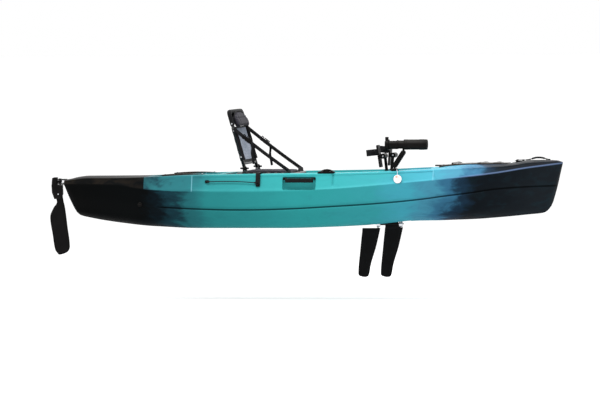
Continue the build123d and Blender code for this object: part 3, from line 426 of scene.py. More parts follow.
def mixed(tree, share, first, second, blend="MIX"):
    """A colour between two colours."""
    made = node(tree, "ShaderNodeMix", data_type="RGBA", blend_type=blend)
    for key, value in ((0, share), (6, first), (7, second)):
        if isinstance(value, bpy.types.NodeSocket):
            tree.links.new(value, made.inputs[key])
        else:
            made.inputs[key].default_value = value
    return made.outputs[2]


def stops(tree, share, steps):
    """A colour ramp with soft steps."""
    made = node(tree, "ShaderNodeValToRGB", {"Fac": share})
    made.color_ramp.interpolation = "EASE"
    while len(made.color_ramp.elements) < len(steps):
        made.color_ramp.elements.new(0.5)
    for element, (place, colour) in zip(made.color_ramp.elements, steps):
        element.position = place
        element.color = colour
    return made.outputs["Color"]


def effect(name, inputs, outputs):
    """An empty node group with named inputs and outputs."""
    tree = bpy.data.node_groups.new(name, "ShaderNodeTree")
    for label, value in inputs.items():
        kind = "NodeSocketColor" if isinstance(value, tuple) else "NodeSocketFloat"
        tree.interface.new_socket(label, in_out="INPUT", socket_type=kind).default_value = value
    for label in outputs:
        tree.interface.new_socket(label, in_out="OUTPUT", socket_type="NodeSocketFloat")
    return tree, tree.nodes.new("NodeGroupInput").outputs, tree.nodes.new("NodeGroupOutput")


def make_grain():
    """Fine pebbled skin of moulded plastic over slow waves in the wall."""
    tree, given, out = effect("moulded_grain", {"Grain Scale": 700.0, "Wave Scale": 5.0}, ["Height", "Tone"])
    place = own_place(tree)
    pebble = noise(tree, place, given["Grain Scale"], 2.0)
    wave = noise(tree, place, given["Wave Scale"], 3.0)
    pebble_share = 0.25
    tree.links.new(maths(tree, "MULTIPLY_ADD", pebble, pebble_share, wave), out.inputs["Height"])
    tree.links.new(wave, out.inputs["Tone"])
    return tree


def make_wear():
    """Raised edges that are rubbed lighter, broken up by noise."""
    tree, given, out = effect("rubbed_edges", {"From": 0.52, "To": 0.60, "Break Scale": 40.0}, ["Mask"])
    edge = node(tree, "ShaderNodeNewGeometry").outputs["Pointiness"]
    patch = noise(tree, own_place(tree), given["Break Scale"], 4.0)
    raised = ramped(tree, edge, given["From"], given["To"])
    tree.links.new(maths(tree, "MULTIPLY", raised, patch, clamp=True), out.inputs["Mask"])
    return tree


def make_dust():
    """Dust and dried water marks that gather on upward faces."""
    tree, given, out = effect("settled_dust", {"Scale": 9.0, "Amount": 0.3}, ["Mask"])
    patch = noise(tree, own_place(tree), given["Scale"], 6.0, Roughness=0.7)
    up = times(tree, maths(tree, "MAXIMUM", facing_of(tree)["Z"], 0.0), given["Amount"])
    tree.links.new(maths(tree, "MULTIPLY", up, patch, clamp=True), out.inputs["Mask"])
    return tree


def make_weave():
    """Crossing threads: the height of the cloth and its open gaps."""
    tree, given, out = effect("woven_threads", {"Threads": 900.0, "Lean": 0.0}, ["Height", "Gap"])
    place = axes_of(tree, own_place(tree))
    x, y, z = place["X"], place["Y"], place["Z"]
    level_share = 0.9  # x counts beside z, so that threads cross on level cloth too
    slide = times(tree, x, given["Lean"])
    up = maths(tree, "ADD", maths(tree, "ADD", z, slide), times(tree, x, level_share))
    over = maths(tree, "SINE", times(tree, y, given["Threads"]))
    under = maths(tree, "SINE", times(tree, up, given["Threads"]))
    tree.links.new(maths(tree, "MULTIPLY_ADD", times(tree, over, under), 0.5, 0.5), out.inputs["Height"])
    tree.links.new(ramped(tree, maths(tree, "MAXIMUM", over, under), -0.1, -0.55), out.inputs["Gap"])
    return tree


def make_twist():
    """Slanting strands of a laid or braided cord, as a height."""
    tree, given, out = effect("braided_strands", {"Strands": 1400.0}, ["Height"])
    place = axes_of(tree, own_place(tree))
    one = maths(tree, "ADD", place["X"], place["Z"])
    other = minus(tree, place["X"], place["Z"])
    waves = [maths(tree, "SINE", times(tree, side, given["Strands"])) for side in (one, other)]
    tree.links.new(maths(tree, "MAXIMUM", *waves), out.inputs["Height"])
    return tree


GRAIN, WEAR, DUST, WEAVE, TWIST = make_grain(), make_wear(), make_dust(), make_weave(), make_twist()


def placed(tree, group, **values):
    """A shared effect placed in a material with its own values."""
    made = node(tree, "ShaderNodeGroup", node_tree=group)
    for label, value in values.items():
        made.inputs[label.replace("_", " ")].default_value = value
    return made.outputs


def finish_of(name, **constants):
    """A material with its plain numbers set on the shader."""
    material = bpy.data.materials.new(name)
    material.use_nodes = True
    shader = material.node_tree.nodes["Principled BSDF"]
    for label, value in constants.items():
        shader.inputs[label.replace("_", " ")].default_value = value
    return material, material.node_tree, shader


def relief(tree, shader, height, strength, distance):
    """A height that the light catches, through the shader's normal."""
    bump = node(tree, "ShaderNodeBump", {"Height": height, "Strength": strength, "Distance": distance})
    tree.links.new(bump.outputs[0], shader.inputs["Normal"])


# Sections of the hull from stern to bow: x, keel z, crease z, rim z, centre-line deck z,
# half breadth at the crease, lean of the side above it, and how far the bottom is a V
STATIONS = np.array([
    (-1.846, 0.316, 0.326, 0.350, 0.357, 0.070, 0.006, 0.30),
    (-1.802, 0.201, 0.328, 0.356, 0.364, 0.100, 0.009, 0.30),
    (-1.743, 0.099, 0.330, 0.364, 0.378, 0.128, 0.012, 0.30),
    (-1.666, 0.078, 0.330, 0.372, 0.386, 0.165, 0.014, 0.30),
    (-1.402, 0.036, 0.326, 0.376, 0.386, 0.256, 0.018, 0.20),
    (-1.215, 0.016, 0.297, 0.382, 0.386, 0.308, 0.022, 0.10),
    (-1.165, 0.013, 0.294, 0.384, 0.386, 0.318, 0.024, 0.10),
    (-0.850, 0.000, 0.288, 0.398, 0.400, 0.375, 0.026, 0.00),
    (-0.540, 0.000, 0.283, 0.404, 0.406, 0.405, 0.026, 0.00),
    (-0.200, 0.000, 0.289, 0.408, 0.411, 0.418, 0.026, 0.00),
    (0.137, 0.009, 0.297, 0.412, 0.416, 0.416, 0.026, 0.00),
    (0.480, 0.027, 0.321, 0.418, 0.424, 0.395, 0.025, 0.10),
    (0.781, 0.054, 0.347, 0.428, 0.440, 0.362, 0.024, 0.20),
    (0.929, 0.056, 0.360, 0.434, 0.446, 0.333, 0.024, 0.25),
    (1.040, 0.060, 0.371, 0.438, 0.464, 0.308, 0.024, 0.30),
    (1.202, 0.066, 0.386, 0.444, 0.476, 0.267, 0.026, 0.40),
    (1.390, 0.080, 0.410, 0.452, 0.476, 0.216, 0.026, 0.55),
    (1.500, 0.090, 0.426, 0.462, 0.480, 0.182, 0.024, 0.65),
    (1.587, 0.099, 0.441, 0.476, 0.494, 0.152, 0.020, 0.70),
    (1.700, 0.112, 0.455, 0.484, 0.495, 0.112, 0.016, 0.75),
    (1.755, 0.161, 0.462, 0.486, 0.494, 0.088, 0.013, 0.75),
    (1.795, 0.280, 0.467, 0.487, 0.492, 0.062, 0.009, 0.70),
    (1.838, 0.464, 0.472, 0.478, 0.480, 0.022, 0.003, 0.50),
])
# Share of the half breadth, and of the depth for a round and a V bottom
BOTTOM = [(0.0, 0.0, 0.0), (0.42, 0.02, 0.17), (0.72, 0.09, 0.37), (0.90, 0.28, 0.60), (0.985, 0.60, 0.82),
          (1.0, 1.0, 1.0)]
# x and z of the groove along the side
GROOVE = [(-1.095, 0.166), (-0.794, 0.153), (-0.482, 0.147), (-0.137, 0.154), (0.209, 0.172), (0.555, 0.194),
          (0.863, 0.223), (0.998, 0.241), (1.190, 0.264), (1.385, 0.291), (1.545, 0.302), (1.838, 0.31)]
BAND = (-0.831, 0.936)  # the recessed stretch of the upper side
HULL_REAR, HULL_FRONT, HULL_TOP = -1.85, 1.85, 0.5  # what the marbling's own scales run over
HULL_COLOURS = [  # x, colour of the moulded shell there
    (-1.85, (5, 5, 5)), (-1.26, (6, 7, 8)), (-1.12, (10, 18, 24)), (-1.00, (22, 48, 57)),
    (-0.88, (37, 96, 102)), (-0.66, (42, 124, 126)), (0.00, (48, 144, 145)), (0.48, (56, 146, 152)),
    (0.74, (68, 152, 170)), (0.92, (72, 134, 158)), (1.06, (56, 102, 132)), (1.16, (28, 46, 64)),
    (1.28, (18, 21, 26)), (1.85, (31, 33, 38)),
]


def hull_height(tree, x, line):
    """The height of a line along the hull at x, from its (x, z) points."""
    made = node(tree, "ShaderNodeFloatCurve", {"Value": ramped(tree, x, HULL_REAR, HULL_FRONT)})
    curve = made.mapping.curves[0]
    places = [((a - HULL_REAR) / (HULL_FRONT - HULL_REAR), b / HULL_TOP) for a, b in line]
    curve.points[0].location, curve.points[1].location = places[0], places[-1]
    for place in places[1:-1]:
        curve.points.new(*place)
    made.mapping.update()
    return maths(tree, "MULTIPLY", made.outputs[0], HULL_TOP)


def marbled(tree, place, x, z, upper, groove):
    """The shell's colour: zones along the hull, shifted by clouds and wisps, with painted shade that darkens
    it below the crease.
    """
    stretched = node(tree, "ShaderNodeMapping", {"Vector": place, "Scale": (1.0, 1.6, 2.2)}).outputs[0]
    cloud = noise(tree, stretched, 3.0, 6.0, Roughness=0.55, Distortion=0.4)
    wisp = noise(tree, stretched, 8.0, 5.0, Roughness=0.6, Distortion=0.8)
    # The waist's teal runs further aft above the crease
    lift = times(tree, maths(tree, "MAXIMUM", minus(tree, -0.78, x), 0.0), 0.62)
    lifted = times(tree, maths(tree, "GREATER_THAN", x, -1.20), upper)
    along = maths(tree, "MULTIPLY_ADD", lift, lifted, x)
    # At the bow the dark begins early low down and late above the crease
    low = ramped(tree, minus(tree, groove, z), 0.0, 0.12)
    forward = times(tree, ramped(tree, x, 0.6, 1.0), times(tree, low, 0.10))
    back = times(tree, ramped(tree, x, 0.45, 0.85), times(tree, upper, -0.16))
    along = maths(tree, "ADD", maths(tree, "ADD", along, forward), back)
    cloud_reach, wisp_reach = 0.34, 0.22
    shifted = maths(tree, "MULTIPLY_ADD", minus(tree, cloud, 0.5), cloud_reach, along)
    shifted = maths(tree, "MULTIPLY_ADD", minus(tree, wisp, 0.5), wisp_reach, shifted)
    span = HULL_FRONT - HULL_REAR
    zones = [((at - HULL_REAR) / span, srgb(*colour)) for at, colour in HULL_COLOURS]
    colour = stops(tree, ramped(tree, shifted, HULL_REAR, HULL_FRONT), zones)
    veil = times(tree, ramped(tree, wisp, 0.50, 0.75), times(tree, ramped(tree, x, -1.25, -0.95), 0.14))
    colour = mixed(tree, veil, colour, srgb(24, 66, 78))
    # Painted shade: below the crease the colour is multiplied darker.
    painted_shade_below_crease = mixed(tree, upper, srgb(204, 222, 222), (1.0, 1.0, 1.0, 1.0))
    return mixed(tree, 1.0, colour, painted_shade_below_crease, "MULTIPLY"), wisp


def lined(tree, colour, x, z, upper, facing, crease, groove):
    """The shell's colour with a painted shadow in the groove, painted highlights at the panel steps and a
    painted highlight along the bow's crease.
    """
    off = maths(tree, "ABSOLUTE", minus(tree, z, groove))
    shadow = times(tree, ramped(tree, off, 0.0075, 0.004), ramped(tree, x, -1.10, -1.05))
    colour = mixed(tree, shadow, colour, srgb(110, 122, 124), "MULTIPLY")
    # Painted highlights: pale lines on the upper side where the recessed panel steps in and out.
    steps = [ramped(tree, maths(tree, "ABSOLUTE", minus(tree, x, at)), 0.005, 0.001) for at in BAND]
    sideways = times(tree, upper, ramped(tree, facing["Z"], 0.8, 0.5))
    step_highlight = times(tree, maths(tree, "ADD", *steps), sideways)
    colour = mixed(tree, times(tree, step_highlight, 0.35), colour, srgb(140, 196, 212))
    # Painted highlight: a pale blue line along the crease towards the bow.
    from_crease = maths(tree, "ABSOLUTE", minus(tree, z, crease))
    edge = times(tree, ramped(tree, from_crease, 0.008, 0.001), ramped(tree, x, 1.02, 1.22))
    return mixed(tree, times(tree, edge, 0.38), colour, srgb(120, 146, 190))


def make_hull_finish():
    """Marbled polyethylene: black stern, teal waist, steel-blue cloud into a dark bow, with painted shade
    below the crease, painted highlights at the panel steps and the bow's crease, and a painted brown sheen on
    the stern.
    """
    material, tree, shader = finish_of("marbled_hull_shell", IOR=1.09)
    place = own_place(tree)
    axes, facing = axes_of(tree, place), facing_of(tree)
    x, z = axes["X"], axes["Z"]
    crease = hull_height(tree, x, [(row[0], row[2]) for row in STATIONS[::2]])
    groove = hull_height(tree, x, [(HULL_REAR, 0.20), *GROOVE])
    upper = ramped(tree, minus(tree, z, crease), -0.006, 0.002)
    colour, wisp = marbled(tree, place, x, z, upper, groove)
    colour = lined(tree, colour, x, z, upper, facing, crease, groove)
    # Painted highlight: warm brown patches over the black stern above the crease, standing in for its sheen.
    stern = times(tree, ramped(tree, x, -1.10, -1.22), upper)
    brown_sheen = times(tree, stern, ramped(tree, wisp, 0.44, 0.60))
    colour = mixed(tree, times(tree, brown_sheen, 0.6), colour, srgb(27, 22, 17))
    dust = placed(tree, DUST, Scale=7.0, Amount=0.02)
    colour = mixed(tree, dust["Mask"], colour, srgb(160, 164, 164))
    wear = placed(tree, WEAR, From=0.57, To=0.66, Break_Scale=30.0)
    colour = mixed(tree, times(tree, wear["Mask"], 0.25), colour, srgb(96, 132, 140))
    tree.links.new(colour, shader.inputs["Base Color"])
    grain = placed(tree, GRAIN, Grain_Scale=520.0, Wave_Scale=4.0)
    scuffed = times(tree, ramped(tree, facing["Z"], -0.15, -0.6), 0.4)
    rough = maths(tree, "ADD", spread(tree, grain["Tone"], 0.30, 0.44), scuffed)
    tree.links.new(rough, shader.inputs["Roughness"])
    relief(tree, shader, grain["Height"], 0.25, 0.0015)
    return material


def make_plastic(name, colour, rubbed, rough=(0.34, 0.5), grain_scale=900.0, dust_share=0.05, ior=1.2):
    """Moulded plastic or rubber with a fine grain, rubbed edges and dust."""
    material, tree, shader = finish_of(name, IOR=ior)
    grain = placed(tree, GRAIN, Grain_Scale=grain_scale, Wave_Scale=14.0)
    wear = placed(tree, WEAR, From=0.53, To=0.66, Break_Scale=60.0)
    dust = placed(tree, DUST, Scale=24.0, Amount=dust_share)
    deep = tuple(value * 0.6 for value in colour[:3]) + (1.0,)
    shade = mixed(tree, ramped(tree, grain["Tone"], 0.35, 0.65), deep, colour)
    shade = mixed(tree, times(tree, wear["Mask"], 0.6), shade, rubbed)
    shade = mixed(tree, dust["Mask"], shade, srgb(150, 142, 132))
    tree.links.new(shade, shader.inputs["Base Color"])
    tree.links.new(spread(tree, grain["Tone"], *rough), shader.inputs["Roughness"])
    relief(tree, shader, grain["Height"], 0.3, 0.0008)
    return material


def make_metal(name, colour, rough, metallic=1.0):
    """Drawn metal with fine lengthwise scratches."""
    material, tree, shader = finish_of(name, Metallic=metallic)
    drawn = node(tree, "ShaderNodeMapping", {"Vector": own_place(tree), "Scale": (40.0, 700.0, 700.0)})
    scratch = noise(tree, drawn.outputs[0], 1.0, 3.0)
    grain = placed(tree, GRAIN, Grain_Scale=300.0, Wave_Scale=20.0)
    wear = placed(tree, WEAR, From=0.54, To=0.7, Break_Scale=80.0)
    shade = mixed(tree, times(tree, wear["Mask"], 0.5), colour, srgb(176, 176, 178))
    tree.links.new(shade, shader.inputs["Base Color"])
    tone = maths(tree, "MULTIPLY_ADD", scratch, 0.5, times(tree, grain["Tone"], 0.5))
    tree.links.new(spread(tree, tone, *rough), shader.inputs["Roughness"])
    relief(tree, shader, scratch, 0.12, 0.0003)
    return material


def make_cloth(name, thread, gap, threads, lean, sheen, mottled=None):
    """Woven cloth or webbing: threads, painted shade in the gaps between them, and a little fading."""
    material, tree, shader = finish_of(name, Sheen_Weight=sheen, IOR=1.2)
    weave = placed(tree, WEAVE, Threads=threads, Lean=lean)
    grain = placed(tree, GRAIN, Grain_Scale=260.0, Wave_Scale=11.0)
    faded = mixed(tree, ramped(tree, grain["Tone"], 0.35, 0.7), thread, mottled or thread)
    # Painted shade: the gaps between the threads are darkened.
    shade = mixed(tree, times(tree, weave["Gap"], 0.85), faded, gap)
    tree.links.new(shade, shader.inputs["Base Color"])
    tree.links.new(spread(tree, weave["Height"], 0.75, 0.92), shader.inputs["Roughness"])
    relief(tree, shader, weave["Height"], 0.5, 0.0006)
    return material


def make_cord_finish(name, colour, fleck, strands):
    """Braided cord with a contrasting fleck."""
    material, tree, shader = finish_of(name, Sheen_Weight=0.05, IOR=1.2)
    twist = placed(tree, TWIST, Strands=strands)
    spots = noise(tree, own_place(tree), 260.0, 1.0)
    shade = mixed(tree, ramped(tree, spots, 0.56, 0.62), colour, fleck)
    tree.links.new(shade, shader.inputs["Base Color"])
    tree.links.new(spread(tree, twist["Height"], 0.6, 0.85), shader.inputs["Roughness"])
    relief(tree, shader, twist["Height"], 0.6, 0.0005)
    return material


def make_tag_finish():
    """Pale card with soft blots of warm colour."""
    material, tree, shader = finish_of("printed_tag")
    blot = noise(tree, own_place(tree), 40.0, 2.0, Distortion=0.3)
    shade = stops(tree, blot, [(0.0, srgb(236, 226, 228)), (0.55, srgb(230, 216, 220)),
                               (0.64, srgb(216, 160, 138)), (0.75, srgb(204, 138, 134))])
    tree.links.new(shade, shader.inputs["Base Color"])
    grain = placed(tree, GRAIN, Grain_Scale=400.0, Wave_Scale=30.0)
    tree.links.new(spread(tree, grain["Tone"], 0.35, 0.55), shader.inputs["Roughness"])
    relief(tree, shader, grain["Height"], 0.2, 0.0004)
    return material


FINISH = {
    "hull_shell": make_hull_finish(),
    "black_plastic": make_plastic("black_moulded_plastic", srgb(10, 9, 9), srgb(42, 40, 39), ior=1.15),
    "rail_plastic": make_plastic("rail_plastic", srgb(36, 30, 26), srgb(96, 84, 72), (0.22, 0.4), 500.0,
                                 0.12),
    "rubber": make_plastic("black_rubber", srgb(13, 13, 14), srgb(40, 40, 42), (0.55, 0.75), 1200.0),
    "webbing": make_cloth("woven_webbing", srgb(16, 16, 18), srgb(5, 5, 6), 1500.0, 0.4, 0.03),
    "stainless": make_metal("drawn_stainless", srgb(190, 192, 196), (0.18, 0.38)),
    "frame_tube": make_metal("painted_tube", srgb(20, 20, 22), (0.34, 0.5), 0.2),
    "seat_mesh": make_cloth("seat_mesh", srgb(124, 132, 146), srgb(52, 60, 74), 820.0, 0.0, 0.1,
                            srgb(146, 152, 166)),
    "head_fabric": make_cloth("head_fabric", srgb(30, 28, 35), srgb(12, 11, 15), 1300.0, 0.5, 0.04,
                              srgb(42, 40, 49)),
    "fin_rubber": make_plastic("fin_rubber", srgb(11, 11, 12), srgb(34, 34, 36), (0.45, 0.6), 800.0, 0.03,
                               1.14),
    "shock_cord": make_cord_finish("shock_cord", srgb(12, 12, 13), srgb(44, 45, 48), 1300.0),
    "tag_white": make_tag_finish(),
    "cord_white": make_cord_finish("tag_string", srgb(222, 220, 230), srgb(176, 164, 196), 2600.0),
}

# ---------------------------------------------------------------- floor


def make_floor():
    """A plain pale floor that gives off a little light, so that it stays white."""
    material, _, shader = finish_of("pale_floor", Roughness=0.9, Specular_IOR_Level=0.1)
    shader.inputs["Base Color"].default_value = srgb(190, 190, 190)
    shader.inputs["Emission Color"].default_value = (1.0, 1.0, 1.0, 1.0)
    shader.inputs["Emission Strength"].default_value = 0.52
    bpy.ops.mesh.primitive_plane_add(size=400, location=(0, 0, FLOOR))
    floor = settle(bpy.context.active_object, "studio_floor")
    floor.data.materials.append(material)


make_floor()
world = bpy.data.worlds.new("studio_light")
world.use_nodes = True
world.node_tree.nodes["Background"].inputs["Color"].default_value = (1.0, 1.0, 1.0, 1.0)
world.node_tree.nodes["Background"].inputs["Strength"].default_value = 1.0
SCENE.world = world

# ---------------------------------------------------------------- tag and its cord

TAG_R = 0.0015
TAG_ROUTE = [(0.668, -0.323, 0.429), (0.672, -0.334, 0.433), (0.677, -0.3465, 0.4335), (0.681, -0.358, 0.428),
             (0.6835, -0.3665, 0.418), (0.685, -0.373, 0.406), (0.6855, -0.3765, 0.396)]

tag = refined("tag", 0.0008)
tag_cord = cord_line("tag_string", TAG_ROUTE, TAG_R)
fit(tag_cord, "hull", "cord_white", ["tag_cord"])

# ---------------------------------------------------------------- hull

GROOVE_HALF = 0.0055
GROOVE_DEPTH = 0.005
BAND_DEPTH = 0.005
FLUTE_X = 0.216  # upright flute below the steering lever
DIMPLE = (0.662, 0.362)  # x and z of the dimple below the rod holder
MARK_DEPTH = 0.010  # of the flute and the dimple
RIM_ROUND = 0.010
STATION_STEP = 0.015
END_STEP = 0.006


def station_places():
    """Where the hull's sections stand, closer together where the shape steps."""
    places = set(np.round(np.arange(STATIONS[0, 0], STATIONS[-1, 0], STATION_STEP), 4))
    places.add(STATIONS[-1, 0])
    for at in (*BAND, GROOVE[0][0], FLUTE_X, DIMPLE[0]):
        places.update(np.round(at + np.array([-0.009, -0.004, 0.0, 0.004, 0.009]), 4))
    places.update(np.round(np.arange(1.80, STATIONS[-1, 0], END_STEP), 4))
    places.update(np.round(np.arange(STATIONS[0, 0], -1.80, END_STEP), 4))
    return sorted(p for p in places if STATIONS[0, 0] <= p <= STATIONS[-1, 0])


def hull_line(x):
    """Keel, crease, rim and crown heights, half breadth, lean and V at x."""
    return [float(eased(x, STATIONS[:, 0], STATIONS[:, column])) for column in range(1, 8)]


def hull_half_ring(x):
    """Port half of a section: points from the keel up the side to the deck's middle."""
    keel, crease, rim, crown, half, lean, vee = hull_line(x)
    index = np.arange(len(BOTTOM))
    fine = np.linspace(0, len(BOTTOM) - 1, 121)
    shares = [(a, r + (v - r) * vee) for a, r, v in BOTTOM]
    y = eased(fine, index, [half * a for a, _ in shares])
    z = eased(fine, index, [keel + (crease - keel) * up for _, up in shares])
    waist = ramp(x, -1.5, -1.0) * (1 - ramp(x, 0.7, 1.1))
    z = z + 0.014 * waist * np.exp(-((y - 0.34 * half) / (0.10 * half)) ** 2) * ramp(z, -1.0, keel + 0.02)
    run = np.concatenate([[0.0], np.cumsum(np.hypot(np.diff(y), np.diff(z)))])
    level = float(eased(x, [g[0] for g in GROOVE], [g[1] for g in GROOVE]))
    level = min(max(level, keel + 0.35 * (crease - keel)), crease - 0.3 * (crease - keel))
    at = float(np.interp(level, z, run))
    wide = min(GROOVE_HALF, 0.2 * (run[-1] - at), 0.2 * at)
    steps = np.concatenate([np.linspace(0, at - 2 * wide, 22), [at - wide, at, at + wide],
                            np.linspace(at + 2 * wide, run[-1], 9)])
    y, z = np.interp(steps, run, y), np.interp(steps, run, z)
    depth = GROOVE_DEPTH * float(ramp(x, -1.098, -1.092)) * float(1 - ramp(x, 1.25, 1.6))
    y[22:25] -= depth * np.array([0.75, 1.0, 0.75])
    shoulder = half - lean
    rise = np.linspace(0.0, 1.0, 13)[1:]
    up = crease + (rim - RIM_ROUND - crease) * rise
    side = half - lean * rise
    inside_band = ramp(x, BAND[0] - 0.005, BAND[0] + 0.005) * (1 - ramp(x, BAND[1] - 0.005, BAND[1] + 0.005))
    side = side - BAND_DEPTH * float(inside_band) * ramp(rise, 0.02, 0.12) * (1 - ramp(rise, 0.93, 1.0))
    flute = np.exp(-((x - FLUTE_X) / 0.007) ** 2) * ramp(rise, 0.1, 0.3) * MARK_DEPTH
    dimple = np.exp(-((x - DIMPLE[0]) / 0.016) ** 2 - ((up - DIMPLE[1]) / 0.016) ** 2) * MARK_DEPTH
    side = side - flute - dimple
    turn = np.linspace(0, pi / 2, 5)[1:]
    corner = min(RIM_ROUND, 0.3 * shoulder)
    gunwale_y = shoulder - corner + corner * np.cos(turn)
    gunwale_z = rim - RIM_ROUND + RIM_ROUND * np.sin(turn)
    inner = shoulder - corner
    share = np.array([0.85, 0.66, 0.45, 0.22, 0.0])
    deck_y = inner * share
    deck_z = rim + (crown - rim) * (1 - share ** 2) ** 0.8
    return (np.concatenate([y, side, gunwale_y, deck_y]), np.concatenate([z, up, gunwale_z, deck_z]))


def hull_ring(x):
    """A whole section, up the port side and down the starboard side."""
    y, z = hull_half_ring(x)
    port = [(x, a, b) for a, b in zip(y, z)]
    starboard = [(x, -a, b) for a, b in zip(y[-2:0:-1], z[-2:0:-1])]
    return port + starboard


def well(plan, floor, foot, corner=0.03):
    """A cutter for a moulded well: its plan has rounded corners and its floor a rounded foot."""
    bpy.ops.mesh.primitive_circle_add(vertices=len(plan), fill_type="NGON")
    obj = bpy.context.active_object
    obj.name = "well"
    reshape(obj, [(x, y, DECK_TOP) for x, y in plan])
    edit()
    bpy.ops.mesh.bevel(offset=corner, segments=7, affect="VERTICES")
    bpy.ops.mesh.extrude_region_move(TRANSFORM_OT_translate={"value": (0, 0, floor - DECK_TOP)})
    if foot:
        bpy.ops.mesh.bevel(offset=foot, segments=4, affect="EDGES")
    leave()
    return tidy(obj)


def mirrored(plan):
    """A plan that is the same on both sides, from its port half."""
    return [(x, -y) for x, y in plan] + [(x, y) for x, y in reversed(plan)]


DECK_TOP = 0.56  # above all of the deck
SEAT_WELL_PLAN = mirrored([(-0.610, 0.212), (-0.095, 0.212)])
SEAT_LEDGE_PLAN = mirrored([(-0.612, 0.286), (-0.060, 0.286)])
TANKWELL_PLAN = mirrored([(-1.165, 0.176), (-0.660, 0.204)])
COCKPIT_PLAN = mirrored([(-0.097, 0.300), (0.420, 0.300), (0.900, 0.226)])
FOOTWELL_PLAN = [(-0.097, 0.080), (0.880, 0.080), (0.880, 0.216), (0.420, 0.286), (-0.097, 0.286)]
HATCH_REBATE_PLAN = mirrored([(0.950, 0.166), (1.478, 0.100)])
HATCH_HOLD_PLAN = mirrored([(0.996, 0.120), (1.432, 0.054)])
DRIVE_SLOT_PLAN = mirrored([(0.425, 0.050), (0.730, 0.050)])
SCUPPERS = [(-0.900, 0.150), (0.120, 0.190)]
SCUPPER_R = 0.016
DRAIN = (-1.228, 0.183)
LEVER = (0.163, -0.364)


def hull_cutters():
    """Every hollow that the deck and the sides have."""
    cutters = [
        well(SEAT_WELL_PLAN, 0.165, 0.018), well(SEAT_LEDGE_PLAN, 0.378, 0.006),
        well(TANKWELL_PLAN, 0.215, 0.018), well(COCKPIT_PLAN, 0.300, 0.010),
        well(FOOTWELL_PLAN, 0.120, 0.018), well([(x, -y) for x, y in FOOTWELL_PLAN], 0.120, 0.018),
        well(HATCH_REBATE_PLAN, 0.425, 0.005), well(HATCH_HOLD_PLAN, 0.180, 0.02),
        well(DRIVE_SLOT_PLAN, -0.05, 0.0, 0.02),
    ]
    for side in (1, -1):
        for x, y in SCUPPERS:
            cutters.append(rod("scupper", (x, side * y, -0.05), (x, side * y, DECK_TOP), SCUPPER_R))
        low, high = sorted((side * 0.372, side * 0.46))
        cutters.append(block("handle_recess", (-0.154, low, 0.290), (0.090, high, 0.386), 0.012))
    cutters.append(rod("drain", (DRAIN[0], -0.25, DRAIN[1]), (DRAIN[0], -0.34, DRAIN[1]), 0.012))
    cutters.append(rod("lever_bore", (*LEVER, 0.37), (*LEVER, 0.43), 0.009))
    for y in (-0.030, 0.030):
        cutters.append(rod("cable_exit", (-1.90, y, 0.337), (-1.80, y, 0.337), 0.0035))
    return cutters


def make_hull():
    """The moulded shell: a skin through its sections, with every hollow cut out of it."""
    hull = lofted("hull_shell", [hull_ring(x) for x in station_places()])
    gathered = bpy.data.collections.new("cutters")
    SCENE.collection.children.link(gathered)
    cutters = hull_cutters()
    for cutter in cutters:
        for home in list(cutter.users_collection):
            home.objects.unlink(cutter)
        gathered.objects.link(cutter)
    modify(hull, "BOOLEAN", operation="DIFFERENCE", solver="EXACT", operand_type="COLLECTION",
           collection=gathered)
    for cutter in cutters:
        bpy.data.objects.remove(cutter)
    bpy.data.collections.remove(gathered)
    soften(hull, 0.003, 2, 55)
    smooth(hull, 35)
    fit(hull, "hull", "hull_shell", ["hull"])


make_hull()

# ---------------------------------------------------------------- solids that keep their shape

SIDES = (("port", 1), ("starboard", -1))
ROUNDED = {  # frame node: radius of its softened edges
    "drain_plug": 0.002, "rear_rails": 0.004, "deck_screws": 0.001, "side_handle_port": 0.003,
    "side_handle_starboard": 0.003, "side_handle_brackets": 0.0025, "pad_eyes": 0.0012, "latch_pin": 0.0008,
    "hatch_latch": 0.003, "hatch_seal": 0.002, "hatch_hinge": 0.003, "hinge_pins": 0.0008,
    "steering_base": 0.003, "steering_lever": 0.003, "steering_pulley": 0.001, "steering_cables": 0.0,
    "rudder_bracket": 0.0025, "rudder_pin": 0.001, "rudder_head": 0.003, "blade_pin": 0.001,
    "drive_spine": 0.004, "drive_shafts": 0.001, "drive_cables": 0.0008, "drive_latch_port": 0.0015,
    "drive_latch_starboard": 0.0015, "mast_front": 0.001, "mast_rear": 0.001, "seat_base_frame": 0.0012,
    "seat_back_frame": 0.0, "rod_base": 0.002, "rod_arm": 0.004, "rod_knob": 0.003, "rod_tube": 0.0015,
    "rod_cap": 0.0025, "rod_collar": 0.002,
}
for side_name, _ in SIDES:
    ROUNDED.update({f"drum_{side_name}": 0.001, f"crank_{side_name}": 0.003, f"pedal_pin_{side_name}": 0.001,
                    f"pedal_{side_name}": 0.003, f"pedal_strap_{side_name}": 0.002})
for solid, width in ROUNDED.items():
    refined(solid, width)
refined("hatch_lid", 0.005, slot="rail_plastic")

# ---------------------------------------------------------------- deck fittings

HANDLE_Y = 0.398
BUNGEE_R = 0.003
BUNGEE_PROUD = 0.0065  # from the side to the cord's middle
TIE_STRAP_X = -0.334
TIE_STRAP_Y = 0.4105  # where the strap hangs down the side


def make_drain_grip():
    """Raised grip bar across the drain plug."""
    x, z = DRAIN
    bar = block("drain_plug_grip", (x - 0.012, -0.315, z - 0.003), (x + 0.012, -0.307, z + 0.003), 0.0015)
    added(bar, "drain_plug")


def make_handle_ribs(side_name, side):
    """Rounded finger ribs along a side handle's grip."""
    middle, half = side * HANDLE_Y, 0.0102
    ribs = [block("rib", (x, middle - half, 0.3442), (x + 0.006, middle + half, 0.3758), 0.0025)
            for x in np.arange(-0.108, 0.044, 0.0125)]
    added(joined(f"side_handle_ribs_{side_name}", ribs), f"side_handle_{side_name}")


